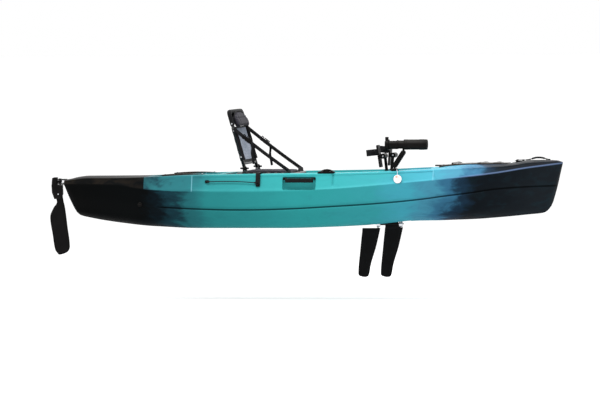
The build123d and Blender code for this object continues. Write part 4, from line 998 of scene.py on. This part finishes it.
def make_bungee(side_name, side):
    """Paddle shock cord along the side with its end knots."""
    def out(x, z):
        """How far out the cord lies, just proud of the leaning side."""
        _, crease, rim, _, half, lean, _ = hull_line(x)
        return side * (half - lean * (z - crease) / (rim - 0.008 - crease) + BUNGEE_PROUD)
    route = [(-0.703, 0.352), (-0.64, 0.3535), (-0.53, 0.354), (-0.43, 0.351), (-0.354, 0.345)]
    cord = meshed(cord_line(f"paddle_bungee_{side_name}", [(x, out(x, z), z) for x, z in route], BUNGEE_R))
    knots = [rod("knot", (x - 0.009, out(x, z), z), (x + 0.009, out(x, z), z), 0.0055, 0.002, 16)
             for x, z in (route[0], route[-1])]
    return joined(f"paddle_bungee_{side_name}", [cord, *knots])


def make_bungees():
    """The paddle cords of both sides as one piece."""
    pair = joined("paddle_bungee_cords", [make_bungee(*side) for side in SIDES])
    smooth(pair)
    fit(pair, "hull", "shock_cord", ["paddle_bungees"])


def make_tie_straps():
    """Webbing over the gunwale that holds the seat down, with its snap fastener."""
    straps, snaps = [], []
    for _, side in SIDES:
        line = [(0.262, 0.4032), (0.300, 0.4168), (0.345, 0.4175), (0.377, 0.4168), (0.392, 0.4065),
                (0.402, 0.372), (TIE_STRAP_Y, 0.3365)]
        path = sampled([(TIE_STRAP_X, side * y, z) for y, z in line], 5)
        straps.append(webbing("tie", path, (1, 0, 0), 0.034, 0.0026))
        straps.append(block("tie_fold", (TIE_STRAP_X - 0.017, side * TIE_STRAP_Y - 0.0025, 0.330),
                            (TIE_STRAP_X + 0.017, side * TIE_STRAP_Y + 0.0025, 0.352), 0.0018))
        snaps.append(rod("snap", (TIE_STRAP_X, side * 0.412, 0.341), (TIE_STRAP_X, side * 0.4165, 0.341),
                         0.007, 0.0015, 24))
    fit(joined("seat_tie_straps", straps), "hull", "webbing", ["tie_straps"])
    fit(joined("seat_tie_snaps", snaps), "hull", "black_plastic")


def make_bow_keeper():
    """Buckle plate on the deck between the front hatch and the bow handle."""
    plate = block("plate", (1.500, -0.032, 0.478), (1.560, 0.032, 0.492), 0.003)
    loops = [rod("loop", (x, -0.030, 0.492), (x, 0.030, 0.492), 0.0045, 0.001, 16) for x in (1.508, 1.552)]
    line = [(1.488, 0.4865), (1.508, 0.4975), (1.530, 0.4985), (1.552, 0.4975), (1.584, 0.4955)]
    strap = webbing("keeper", sampled([(x, 0, z) for x, z in line], 5), (0, 1, 0), 0.025, 0.0026)
    added(smooth(joined("bow_keeper", [plate, *loops, strap])), "hatch_hinge")


def make_bow_handle():
    """Padded carry handle arched over the bow deck."""
    line = [(1.574, 0.496), (1.594, 0.4975), (1.616, 0.504), (1.646, 0.5115), (1.682, 0.5115), (1.710, 0.505),
            (1.730, 0.4995), (1.748, 0.4975)]
    path = sampled([(x, 0, z) for x, z in line], 6)
    strap = webbing("strap", path, (0, 1, 0), 0.024, 0.0065)
    grip = webbing("grip", path[12:30], (0, 1, 0), 0.028, 0.0115)
    fit(smooth(joined("bow_carry_handle", [strap, grip]), 50), "hull", "webbing", ["bow_handle"])


def make_lever_ridges():
    """Grip ridges over the steering lever."""
    lever_x, lever_y = LEVER
    ridges = []
    for share in np.linspace(-0.55, 0.6, 7):
        x = lever_x + 0.005 + share * 0.050
        top = 0.441 - 0.0155 * share * share
        ridges.append(block("ridge", (x - 0.002, lever_y - 0.0094, top - 0.006),
                            (x + 0.002, lever_y + 0.0094, top + 0.0012), 0.001))
    added(joined("steering_lever_ridges", ridges), "steering_lever")


def make_hatch_ribs():
    """Raised grips moulded across the front hatch lid."""
    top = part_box("hatch_lid")[1][2]
    ribs = []
    for rear, front, half in ((1.052, 1.088, 0.150), (1.240, 1.300, 0.118), (1.345, 1.400, 0.096)):
        rings = []
        for y in np.linspace(-half, half, 21):
            rise = 0.013 * (1 - (abs(y) / half) ** 4)
            rings.append([(rear + (front - rear) * t, y, top - 0.010 + (rise + 0.002) * sin(pi * t) ** 0.6)
                          for t in np.linspace(0, 1, 13)] + [(front, y, top - 0.014), (rear, y, top - 0.014)])
        ribs.append(lofted("rib", rings))
    fit(smooth(joined("hatch_lid_ribs", ribs), 60), "hatch_lid", "rail_plastic")


def make_deck_pads():
    """Foam foot pads on the two footwell floors, cut in panels."""
    for side_name, side in SIDES:
        pads = []
        for rear in np.arange(-0.02, 0.80, 0.105):
            wide = 0.262 - max(0.0, rear + 0.09 - 0.42) * 0.152
            low, high = sorted((side * 0.104, side * wide))
            pads.append(block("pad", (rear, low, 0.1195), (rear + 0.098, high, 0.125), 0.002))
        fit(joined(f"footwell_pads_{side_name}", pads), "hull", "rubber")


def make_tankwell_ribs():
    """Raised drainage ribs on the tankwell floor."""
    ribs = [block("rib", (-1.12, y - 0.008, 0.212), (-0.70, y + 0.008, 0.2215), 0.003)
            for y in (-0.105, -0.052, 0.0, 0.052, 0.105)]
    fit(joined("tankwell_ribs", ribs), "hull", "hull_shell")


make_drain_grip()
for side_name, side in SIDES:
    make_handle_ribs(side_name, side)
make_bungees()
make_tie_straps()
make_bow_keeper()
make_bow_handle()
make_lever_ridges()
make_hatch_ribs()
make_deck_pads()
make_tankwell_ribs()

# ---------------------------------------------------------------- fins and rudder blade


def foil(name, levels, front, rear, thick, full):
    """A blade with a round leading edge and a thin trailing edge, its thickness shared out by full."""
    shares = (1 - np.cos(np.linspace(0, pi, 17))) / 2
    nose = 0.14
    half = thick / 2 * np.minimum(1.0, np.sqrt(shares / nose))
    half = half * (1 - 0.82 * np.clip((shares - nose) / (1 - nose), 0, 1) ** 1.4)
    half[-1] = 0.0
    rings = []
    for i, level in enumerate(levels):
        x = front[i] + (rear[i] - front[i]) * shares
        port = [(a, b * full[i], level) for a, b in zip(x, half)]
        rings.append(port + [(a, -b, c) for a, b, c in port[-2:0:-1]])
    return smooth(lofted(name, rings), 50)


FIN_TOP, FIN_TIP = 0.005, -0.3575
FIN_THICK = 0.013
BLADE_THICK = 0.0158


def make_fin(mast_name, x, root):
    """Flexible fin on its mast, with the batten's sleeve and the root cuff."""
    levels = np.concatenate([np.linspace(min(FIN_TOP, root), -0.334, 24), [-0.343, -0.350, -0.355, FIN_TIP]])
    front = eased(levels, [FIN_TIP, -0.354, -0.345, -0.270, -0.130, FIN_TOP],
                  [x - 0.098, x - 0.084, x - 0.076, x - 0.060, x - 0.018, x + 0.014])
    rear = eased(levels, [FIN_TIP, -0.350, -0.345, -0.333, -0.150, FIN_TOP],
                 [x - 0.114, x - 0.142, x - 0.149, x - 0.1525, x - 0.136, x - 0.119])
    full = np.ones(len(levels))
    full[-4:] = (0.85, 0.65, 0.4, 0.15)
    fin = foil(f"fin_blade_{mast_name}", levels, front, rear, FIN_THICK, full)
    batten = rod("batten", (x - 0.004, 0, 0.004), (x - 0.086, 0, -0.335), 0.0066, 0.0, 20)
    cuff = block("cuff", (x - 0.117, -FIN_THICK / 2, -0.004), (x - 0.006, FIN_THICK / 2, root), 0.003)
    fin = joined(f"fin_blade_{mast_name}", [fin, batten, cuff])
    fit(smooth(fin, 50), f"mast_{mast_name}", "fin_rubber", [f"fin_{mast_name}"])


def make_blade():
    """Kick-up rudder blade with a round head and a swept tip."""
    levels = np.concatenate([[0.280, 0.276, 0.268, 0.256], np.linspace(0.244, -0.165, 30),
                             [-0.178, -0.187, -0.193, -0.196]])
    front = eased(levels, [-0.196, -0.190, -0.171, -0.137, 0.015, 0.150, 0.210, 0.240, 0.262, 0.275, 0.281],
                  [-1.890, -1.866, -1.831, -1.819, -1.836, -1.853, -1.866, -1.870, -1.877, -1.887, -1.897])
    rear = eased(levels, [-0.196, -0.163, -0.050, 0.080, 0.150, 0.190, 0.246, 0.262, 0.275, 0.281],
                 [-1.904, -1.929, -1.948, -1.966, -1.940, -1.914, -1.926, -1.919, -1.908, -1.899])
    full = np.ones(len(levels))
    full[-4:] = (0.9, 0.75, 0.5, 0.2)
    blade = foil("rudder_foil", levels, front, rear, BLADE_THICK, full)
    fit(blade, "rudder_blade", "black_plastic", ["rudder_blade"])


for mast_name, x, root in (("front", 0.651, 0.024), ("rear", 0.485, 0.000)):
    make_fin(mast_name, x, root)
make_blade()

# ---------------------------------------------------------------- pedals

DRIVE_X = 0.565
CRANK_Z = 0.345
CRANK_LEAN = radians(6)
PEDAL_Y = 0.126


def make_pedal_treads(side_name, side):
    """Tread ribs on the face the foot pushes, and studs on the strap."""
    ribs = []
    low, high = sorted((side * 0.084, side * 0.168))
    for z in np.arange(0.466, 0.604, 0.017):
        face = DRIVE_X - 0.034 - 0.006 * (z - 0.452) / 0.160
        ribs.append(block("tread", (face - 0.0022, low, z - 0.003), (face + 0.002, high, z + 0.003), 0.001))
    turn = Matrix.Translation((DRIVE_X, 0, CRANK_Z)) @ Matrix.Rotation(side * CRANK_LEAN, 4, "Y")
    turn = turn @ Matrix.Translation((-DRIVE_X, 0, -CRANK_Z))
    ribs = joined(f"pedal_treads_{side_name}", ribs)
    ribs.data.transform(turn)
    added(ribs, f"pedal_{side_name}")
    studs = []
    for shift in (-0.0475, 0.0475):
        y = side * PEDAL_Y + shift
        for x in (DRIVE_X - 0.058, DRIVE_X - 0.072):
            studs.append(rod("stud", (x, y - 0.002, 0.563), (x, y + 0.002, 0.563), 0.0052, 0.001, 16))
    studs = joined(f"pedal_strap_studs_{side_name}", studs)
    studs.data.transform(turn)
    added(smooth(studs), f"pedal_{side_name}")


for side_name, side in SIDES:
    make_pedal_treads(side_name, side)

# ---------------------------------------------------------------- rod holder

ROD_Y = -0.300
HOLDER_Z = 0.616


def make_tube_rings():
    """Swellings and rings moulded round the rod holder's tube."""
    rings = [rod("ring", (x, ROD_Y, HOLDER_Z), (x + wide, ROD_Y, HOLDER_Z), 0.0386, 0.0012, 40)
             for x, wide in ((0.728, 0.004), (0.742, 0.004), (0.836, 0.034), (0.874, 0.006))]
    bore = rod("bore", (0.70, ROD_Y, HOLDER_Z), (0.90, ROD_Y, HOLDER_Z), 0.0362, 0.0, 40)
    rings = joined("rod_tube_rings", rings)
    modify(rings, "BOOLEAN", operation="DIFFERENCE", solver="EXACT", object=bore)
    bpy.data.objects.remove(bore)
    added(smooth(rings), "rod_tube")


make_tube_rings()

# ---------------------------------------------------------------- seat

BACK_PIVOT = Vector((-0.456, 0.0, 0.430))
BACK_LEAN = radians(15.5)
SEAT_HALF = 0.246
BOLSTER_Y = 0.172  # seams between the cushion's middle and its bolsters
BACK = Matrix.Translation(BACK_PIVOT) @ Matrix((
    (0.0, -sin(BACK_LEAN), cos(BACK_LEAN), 0.0), (1.0, 0.0, 0.0, 0.0),
    (0.0, cos(BACK_LEAN), sin(BACK_LEAN), 0.0), (0.0, 0.0, 0.0, 1.0)))  # port, up the back, forward -> frame


def on_back(across, up, forward=0.0):
    """A point of the seat back in the frame."""
    return BACK @ Vector((across, up, forward))


def stuffed(obj, voxel, pressure, limit, steps=20):
    """Blow a closed cover up as its filling would, moving no point further than a limit."""
    modify(obj, "REMESH", mode="VOXEL", voxel_size=voxel)
    start = vertices(obj)
    focus(obj)
    cloth = obj.modifiers.new("cover", "CLOTH")
    cloth.settings.use_pressure = True
    cloth.settings.uniform_pressure_force = pressure
    cloth.settings.effector_weights.gravity = 0.0
    for step in range(1, steps + 1):
        SCENE.frame_set(step)
    bpy.ops.object.modifier_apply(modifier=cloth.name)
    SCENE.frame_set(1)
    moved = vertices(obj) - start
    far = np.linalg.norm(moved, axis=1, keepdims=True)
    reshape(obj, start + moved * np.minimum(1.0, limit / np.maximum(far, 1e-9)))
    modify(obj, "SUBSURF", levels=1, render_levels=1)
    return smooth(obj, 60)


def piping(name, route, radius, body, slot):
    """Round sewn edging that closes on itself."""
    line = cord_line(name, route, radius)
    line.data.splines[0].use_cyclic_u = True
    line.data.splines[0].use_endpoint_u = False
    return fit(smooth(meshed(line)), body, slot)


def make_headrest():
    """Stuffed head pad, thick at its lower edge and thin over the top tube."""
    bpy.ops.mesh.primitive_grid_add(x_subdivisions=44, y_subdivisions=14, size=1)
    pad = bpy.context.active_object
    places = vertices(pad)
    middle, wide, tall, back_face = 0.378, 0.424, 0.118, 0.013
    across, up = places[:, 0] * wide, middle + places[:, 1] * tall
    low_corner = np.clip((np.abs(across) - 0.172) / 0.040, 0, 1) ** 2
    top_corner = np.clip((np.abs(across) - 0.080) / 0.132, 0, 1) ** 2
    up = middle + (up - middle) * np.where(up > middle, 1 - 0.75 * top_corner, 1 - 0.28 * low_corner)
    reshape(pad, np.column_stack([across, up, np.full(len(up), back_face)]))
    edit()
    bpy.ops.mesh.extrude_region_move(TRANSFORM_OT_translate={"value": (0, 0, 0.024)})
    leave()
    places = vertices(pad)
    front = places[:, 2] > 0.02
    slope = ramp(places[:, 1], 0.315, 0.445)
    places[front, 2] = (0.042 - 0.020 * slope)[front]
    reshape(pad, places)
    tidy(pad)
    stuffed(pad, 0.005, 3.0, 0.007)
    places = vertices(pad)
    face = ramp(places[:, 2], 0.022, 0.036)
    for seam in (-0.115, 0.115):
        places[:, 2] -= 0.004 * face * np.exp(-((places[:, 0] - seam) / 0.004) ** 2)
    places[:, 2] -= 0.003 * face * np.exp(-((places[:, 1] - 0.385) / 0.004) ** 2)
    reshape(pad, places)
    pad.data.transform(BACK)
    pad.name = pad.data.name = "headrest_pad"
    fit(pad, "seat_back", "head_fabric", ["headrest"])
    edge = [(-0.205, 0.330), (-0.1, 0.318), (0.1, 0.318), (0.205, 0.330), (0.219, 0.365), (0.208, 0.398),
            (0.160, 0.425), (0.08, 0.438), (-0.08, 0.438), (-0.160, 0.425), (-0.208, 0.398), (-0.219, 0.365)]
    piping("headrest_piping", [on_back(a, b, 0.023) for a, b in edge], 0.0032, "seat_back", "webbing")


MESH_WIDE, MESH_TALL, MESH_MIDDLE = 0.456, 0.272, 0.192


def mesh_sag(across_share, up_share):
    """How far the mesh gives, most in its middle, from shares of its width and height."""
    return -0.013 * np.cos(pi * across_share) * (0.55 + 0.45 * np.cos(pi * up_share))


def make_back_mesh():
    """Stretched mesh between the back tubes, sagging a little, with bound edges."""
    bpy.ops.mesh.primitive_grid_add(x_subdivisions=60, y_subdivisions=36, size=1)
    panel = bpy.context.active_object
    panel.name = panel.data.name = "back_mesh_panel"
    places = vertices(panel)
    across, up = places[:, 0] * MESH_WIDE, MESH_MIDDLE + places[:, 1] * MESH_TALL
    reshape(panel, np.column_stack([across, up, mesh_sag(places[:, 0], places[:, 1])]))
    modify(panel, "SOLIDIFY", thickness=0.0024, offset=0.0)
    panel.data.transform(BACK)
    tidy(panel)
    fit(smooth(panel, 60), "seat_back", "seat_mesh", ["back_mesh"])
    bands = []
    for up, deep in ((0.066, 0.030), (0.322, 0.012)):
        path = [on_back(a, up, mesh_sag(a / MESH_WIDE, (up - MESH_MIDDLE) / MESH_TALL))
                for a in np.linspace(-0.236, 0.236, 25)]
        bands.append(webbing("binding", path, BACK.to_3x3() @ Vector((0, 1, 0)), deep, 0.0046))
    fit(joined("back_mesh_binding", bands), "seat_back", "webbing")


def make_back_sleeves():
    """Fabric sleeves sewn round the back tubes, and the cover over the top tube."""
    sleeves = []
    half_wide, half_deep, creases = 0.0155, 0.0195, 90.0
    spin = np.linspace(0, 2 * pi, 21)[:-1]
    for _, side in SIDES:
        rings = []
        for up in np.linspace(0.075, 0.322, 16):
            swell = 1.0 + 0.05 * sin(up * creases)
            rings.append([on_back(side * (SEAT_HALF - 0.004) + half_wide * swell * cos(t), up,
                                  0.004 + half_deep * swell * sin(t)) for t in spin])
        sleeves.append(lofted("sleeve", rings))
    fit(smooth(joined("back_tube_sleeves", sleeves), 60), "seat_back", "webbing")
    half = [(SEAT_HALF, 0.340, 0.0), (SEAT_HALF, 0.392, 0.0), (0.244, 0.440, -0.001), (0.190, 0.442, 0.0)]
    route = [on_back(-a, up, forward) for a, up, forward in half]
    route += [on_back(*place) for place in reversed(half)]
    cover = smooth(meshed(cord_line("top_tube_cover", route, 0.0158)))
    fit(cover, "seat_back", "webbing")
    pocket = [[on_back(a, up, -0.012 - 0.016 * cos(pi * a / 0.452) * sin(pi * (up - 0.350) / 0.092))
               for a in np.linspace(-0.226, 0.226, 21)] for up in np.linspace(0.350, 0.442, 9)]
    back = lofted("back_pocket", pocket, closed=False)
    modify(back, "SOLIDIFY", thickness=0.003, offset=1.0)
    fit(smooth(tidy(back), 60), "seat_back", "webbing")


def make_rivets():
    """Rivets where the straps and sleeves are fixed to the back tubes."""
    rivets = []
    for _, side in SIDES:
        for up in (0.100, 0.300, 0.352):
            start = on_back(side * (SEAT_HALF + 0.0105), up, 0.0)
            rivets.append(rod("rivet", start, start + Vector((0, side * 0.007, 0)), 0.0055, 0.0015, 20))
    fit(smooth(joined("seat_rivets", rivets)), "seat_back", "stainless")


def make_seat_cushion():
    """Crowned seat cushion with side bolsters, sewn channels and piping."""
    bpy.ops.mesh.primitive_grid_add(x_subdivisions=40, y_subdivisions=48, size=1)
    pad = bpy.context.active_object
    places = vertices(pad)
    x, y = places[:, 0], places[:, 1]
    pinch_x = 1 - 0.05 * (2 * y) ** 4
    pinch_y = 1 - 0.06 * (2 * x) ** 4
    long, wide, base = 0.364, 0.440, 0.4075
    x, y = -0.312 + x * long * pinch_x, y * wide * pinch_y
    reshape(pad, np.column_stack([x, y, np.full(len(x), base)]))
    edit()
    bpy.ops.mesh.extrude_region_move(TRANSFORM_OT_translate={"value": (0, 0, 0.012)})
    leave()
    tidy(pad)
    stuffed(pad, 0.006, 3.0, 0.006)
    places = vertices(pad)
    face = ramp(places[:, 2], 0.414, 0.420)
    for seam in (-0.40, -0.312, -0.224):
        channel = np.exp(-((places[:, 0] - seam) / 0.005) ** 2)
        places[:, 2] -= 0.004 * face * channel * (np.abs(places[:, 1]) < BOLSTER_Y)
    for seam in (-BOLSTER_Y, BOLSTER_Y):
        places[:, 2] -= 0.005 * face * np.exp(-((places[:, 1] - seam) / 0.005) ** 2)
    places[:, 2] += 0.002 * face * ramp(np.abs(places[:, 1]), BOLSTER_Y, 0.200)
    reshape(pad, places)
    pad.name = pad.data.name = "seat_cushion"
    fit(pad, "hull", "head_fabric", ["seat_pad"])
    port_edge = [(-0.490, 0.19), (-0.47, 0.213), (-0.312, 0.220), (-0.154, 0.213), (-0.134, 0.19)]
    edge = [(-0.490, -0.19), (-0.494, 0.0), *port_edge, (-0.130, 0.0), (-0.134, -0.19), (-0.154, -0.213),
            (-0.312, -0.220), (-0.47, -0.213)]
    piping("seat_cushion_piping", [(a, b, 0.4125) for a, b in edge], 0.0034, "hull", "webbing")


def make_seat_sling():
    """Sling webs under the cushion, laced over the base frame."""
    webs = []
    for x in np.arange(-0.462, -0.14, 0.052):
        line = [(-0.262, 0.400), (-0.255, 0.4115), (-0.236, 0.4125), (-0.12, 0.4065), (0.0, 0.4045),
                (0.12, 0.4065), (0.236, 0.4125), (0.255, 0.4115), (0.262, 0.400)]
        webs.append(webbing("web", sampled([(x, y, z) for y, z in line], 4), (1, 0, 0), 0.030, 0.0022))
    fit(joined("seat_sling", webs), "hull", "webbing")


STRAP_TOP = on_back(0.0, 0.312, 0.006)
STRAP_LOW = Vector((-0.134, 0.0, 0.430))


def make_seat_strap(side_name, side, slider):
    """Adjusting strap from the back tube to the base, with slider, buckle, doubled ends and a loose tail."""
    y = side * (SEAT_HALF + 0.0212)
    top = Vector((STRAP_TOP.x, y, STRAP_TOP.z))
    low = Vector((STRAP_LOW.x, y, STRAP_LOW.z))
    along = (low - top).normalized()
    normal = along.cross(Vector((0, 1, 0)))
    points = [top + (low - top) * t - Vector((0, 0, 0.006 * sin(pi * t))) for t in np.linspace(0, 1, 22)]
    parts = [webbing("strap", points, normal, 0.025, 0.0024)]
    lift = Vector((0, side * 0.0028, 0))
    parts.append(webbing("doubled", [p + lift for p in points[1:8]], normal, 0.024, 0.0022))
    parts.append(webbing("doubled", [p + lift for p in points[17:21]], normal, 0.024, 0.0022))
    tail_top = top + along * (slider + 0.024) + lift * 2
    hang = [(0.0, 0.0, 0.0), (0.012, 0.003, -0.030), (0.008, 0.004, -0.075), (0.016, 0.003, -0.125),
            (0.022, 0.001, -0.160)]
    tail = [tail_top + Vector((x, side * out, z)) for x, out, z in hang]
    parts.append(webbing("tail", sampled(tail, 5), (0.96, 0, 0.28), 0.018, 0.002))
    strap = smooth(joined(f"seat_strap_{side_name}", parts), 50)
    strap.data.materials.append(FINISH["webbing"])
    buckles = []
    for down, length in ((slider, 0.046), (slider - 0.040, 0.020)):
        middle = top + along * down + lift * 1.4
        turn = Matrix.Translation(middle) @ Matrix((
            (along.x, normal.x, 0, 0), (0, 0, side, 0), (along.z, normal.z, 0, 0), (0, 0, 0, 1)))
        half, wide = length / 2, 0.018
        corners = [(-half, -wide, -half + 0.006, wide), (half - 0.006, -wide, half, wide),
                   (-half, -wide, half, -0.0132), (-half, 0.0132, half, wide)]
        frame_parts = [block("bar", (x1, y1, -0.003), (x2, y2, 0.004), 0.0015) for x1, y1, x2, y2 in corners]
        if length > 0.03:
            frame_parts.append(block("tongue", (-0.012, -0.012, 0.000), (0.015, 0.012, 0.0055), 0.002))
        for part in frame_parts:
            part.data.transform(turn)
        buckles += frame_parts
    buckle = smooth(tidy(joined(f"seat_buckle_{side_name}", buckles)), 40)
    buckle.data.materials.append(FINISH["black_plastic"])
    return strap, buckle, low, top


def make_seat_straps():
    """Both straps, each running from the base to the back."""
    for (side_name, side), slider in zip(SIDES, (0.176, 0.134)):
        strap, buckle, low, top = make_seat_strap(side_name, side, slider)
        for piece in (strap, buckle):
            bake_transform(piece)
        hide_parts("seat_straps")
        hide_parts("strap_buckles")


def make_hinge_knobs():
    """Clamp knobs at the seat back's pivots."""
    parts = []
    x, z = BACK_PIVOT.x, 0.445
    for _, side in SIDES:
        y = side * 0.2585
        low, high = sorted((y, y + side * 0.013))
        hub = rod("hub", (x, y - side * 0.004, z), (x, y + side * 0.016, z), 0.017, 0.003, 28)
        wing = block("wing", (-0.489, low, z - 0.0065), (-0.425, high, z + 0.0065), 0.005)
        cap = rod("cap", (x, y + side * 0.016, z), (x, y + side * 0.020, z), 0.009, 0.002, 24)
        parts += [hub, wing, cap]
    fit(smooth(joined("seat_hinge_knobs", parts)), "hull", "black_plastic")


make_hinge_knobs()
make_headrest()
make_back_mesh()
make_back_sleeves()
make_rivets()
make_seat_cushion()
make_seat_sling()
make_seat_straps()
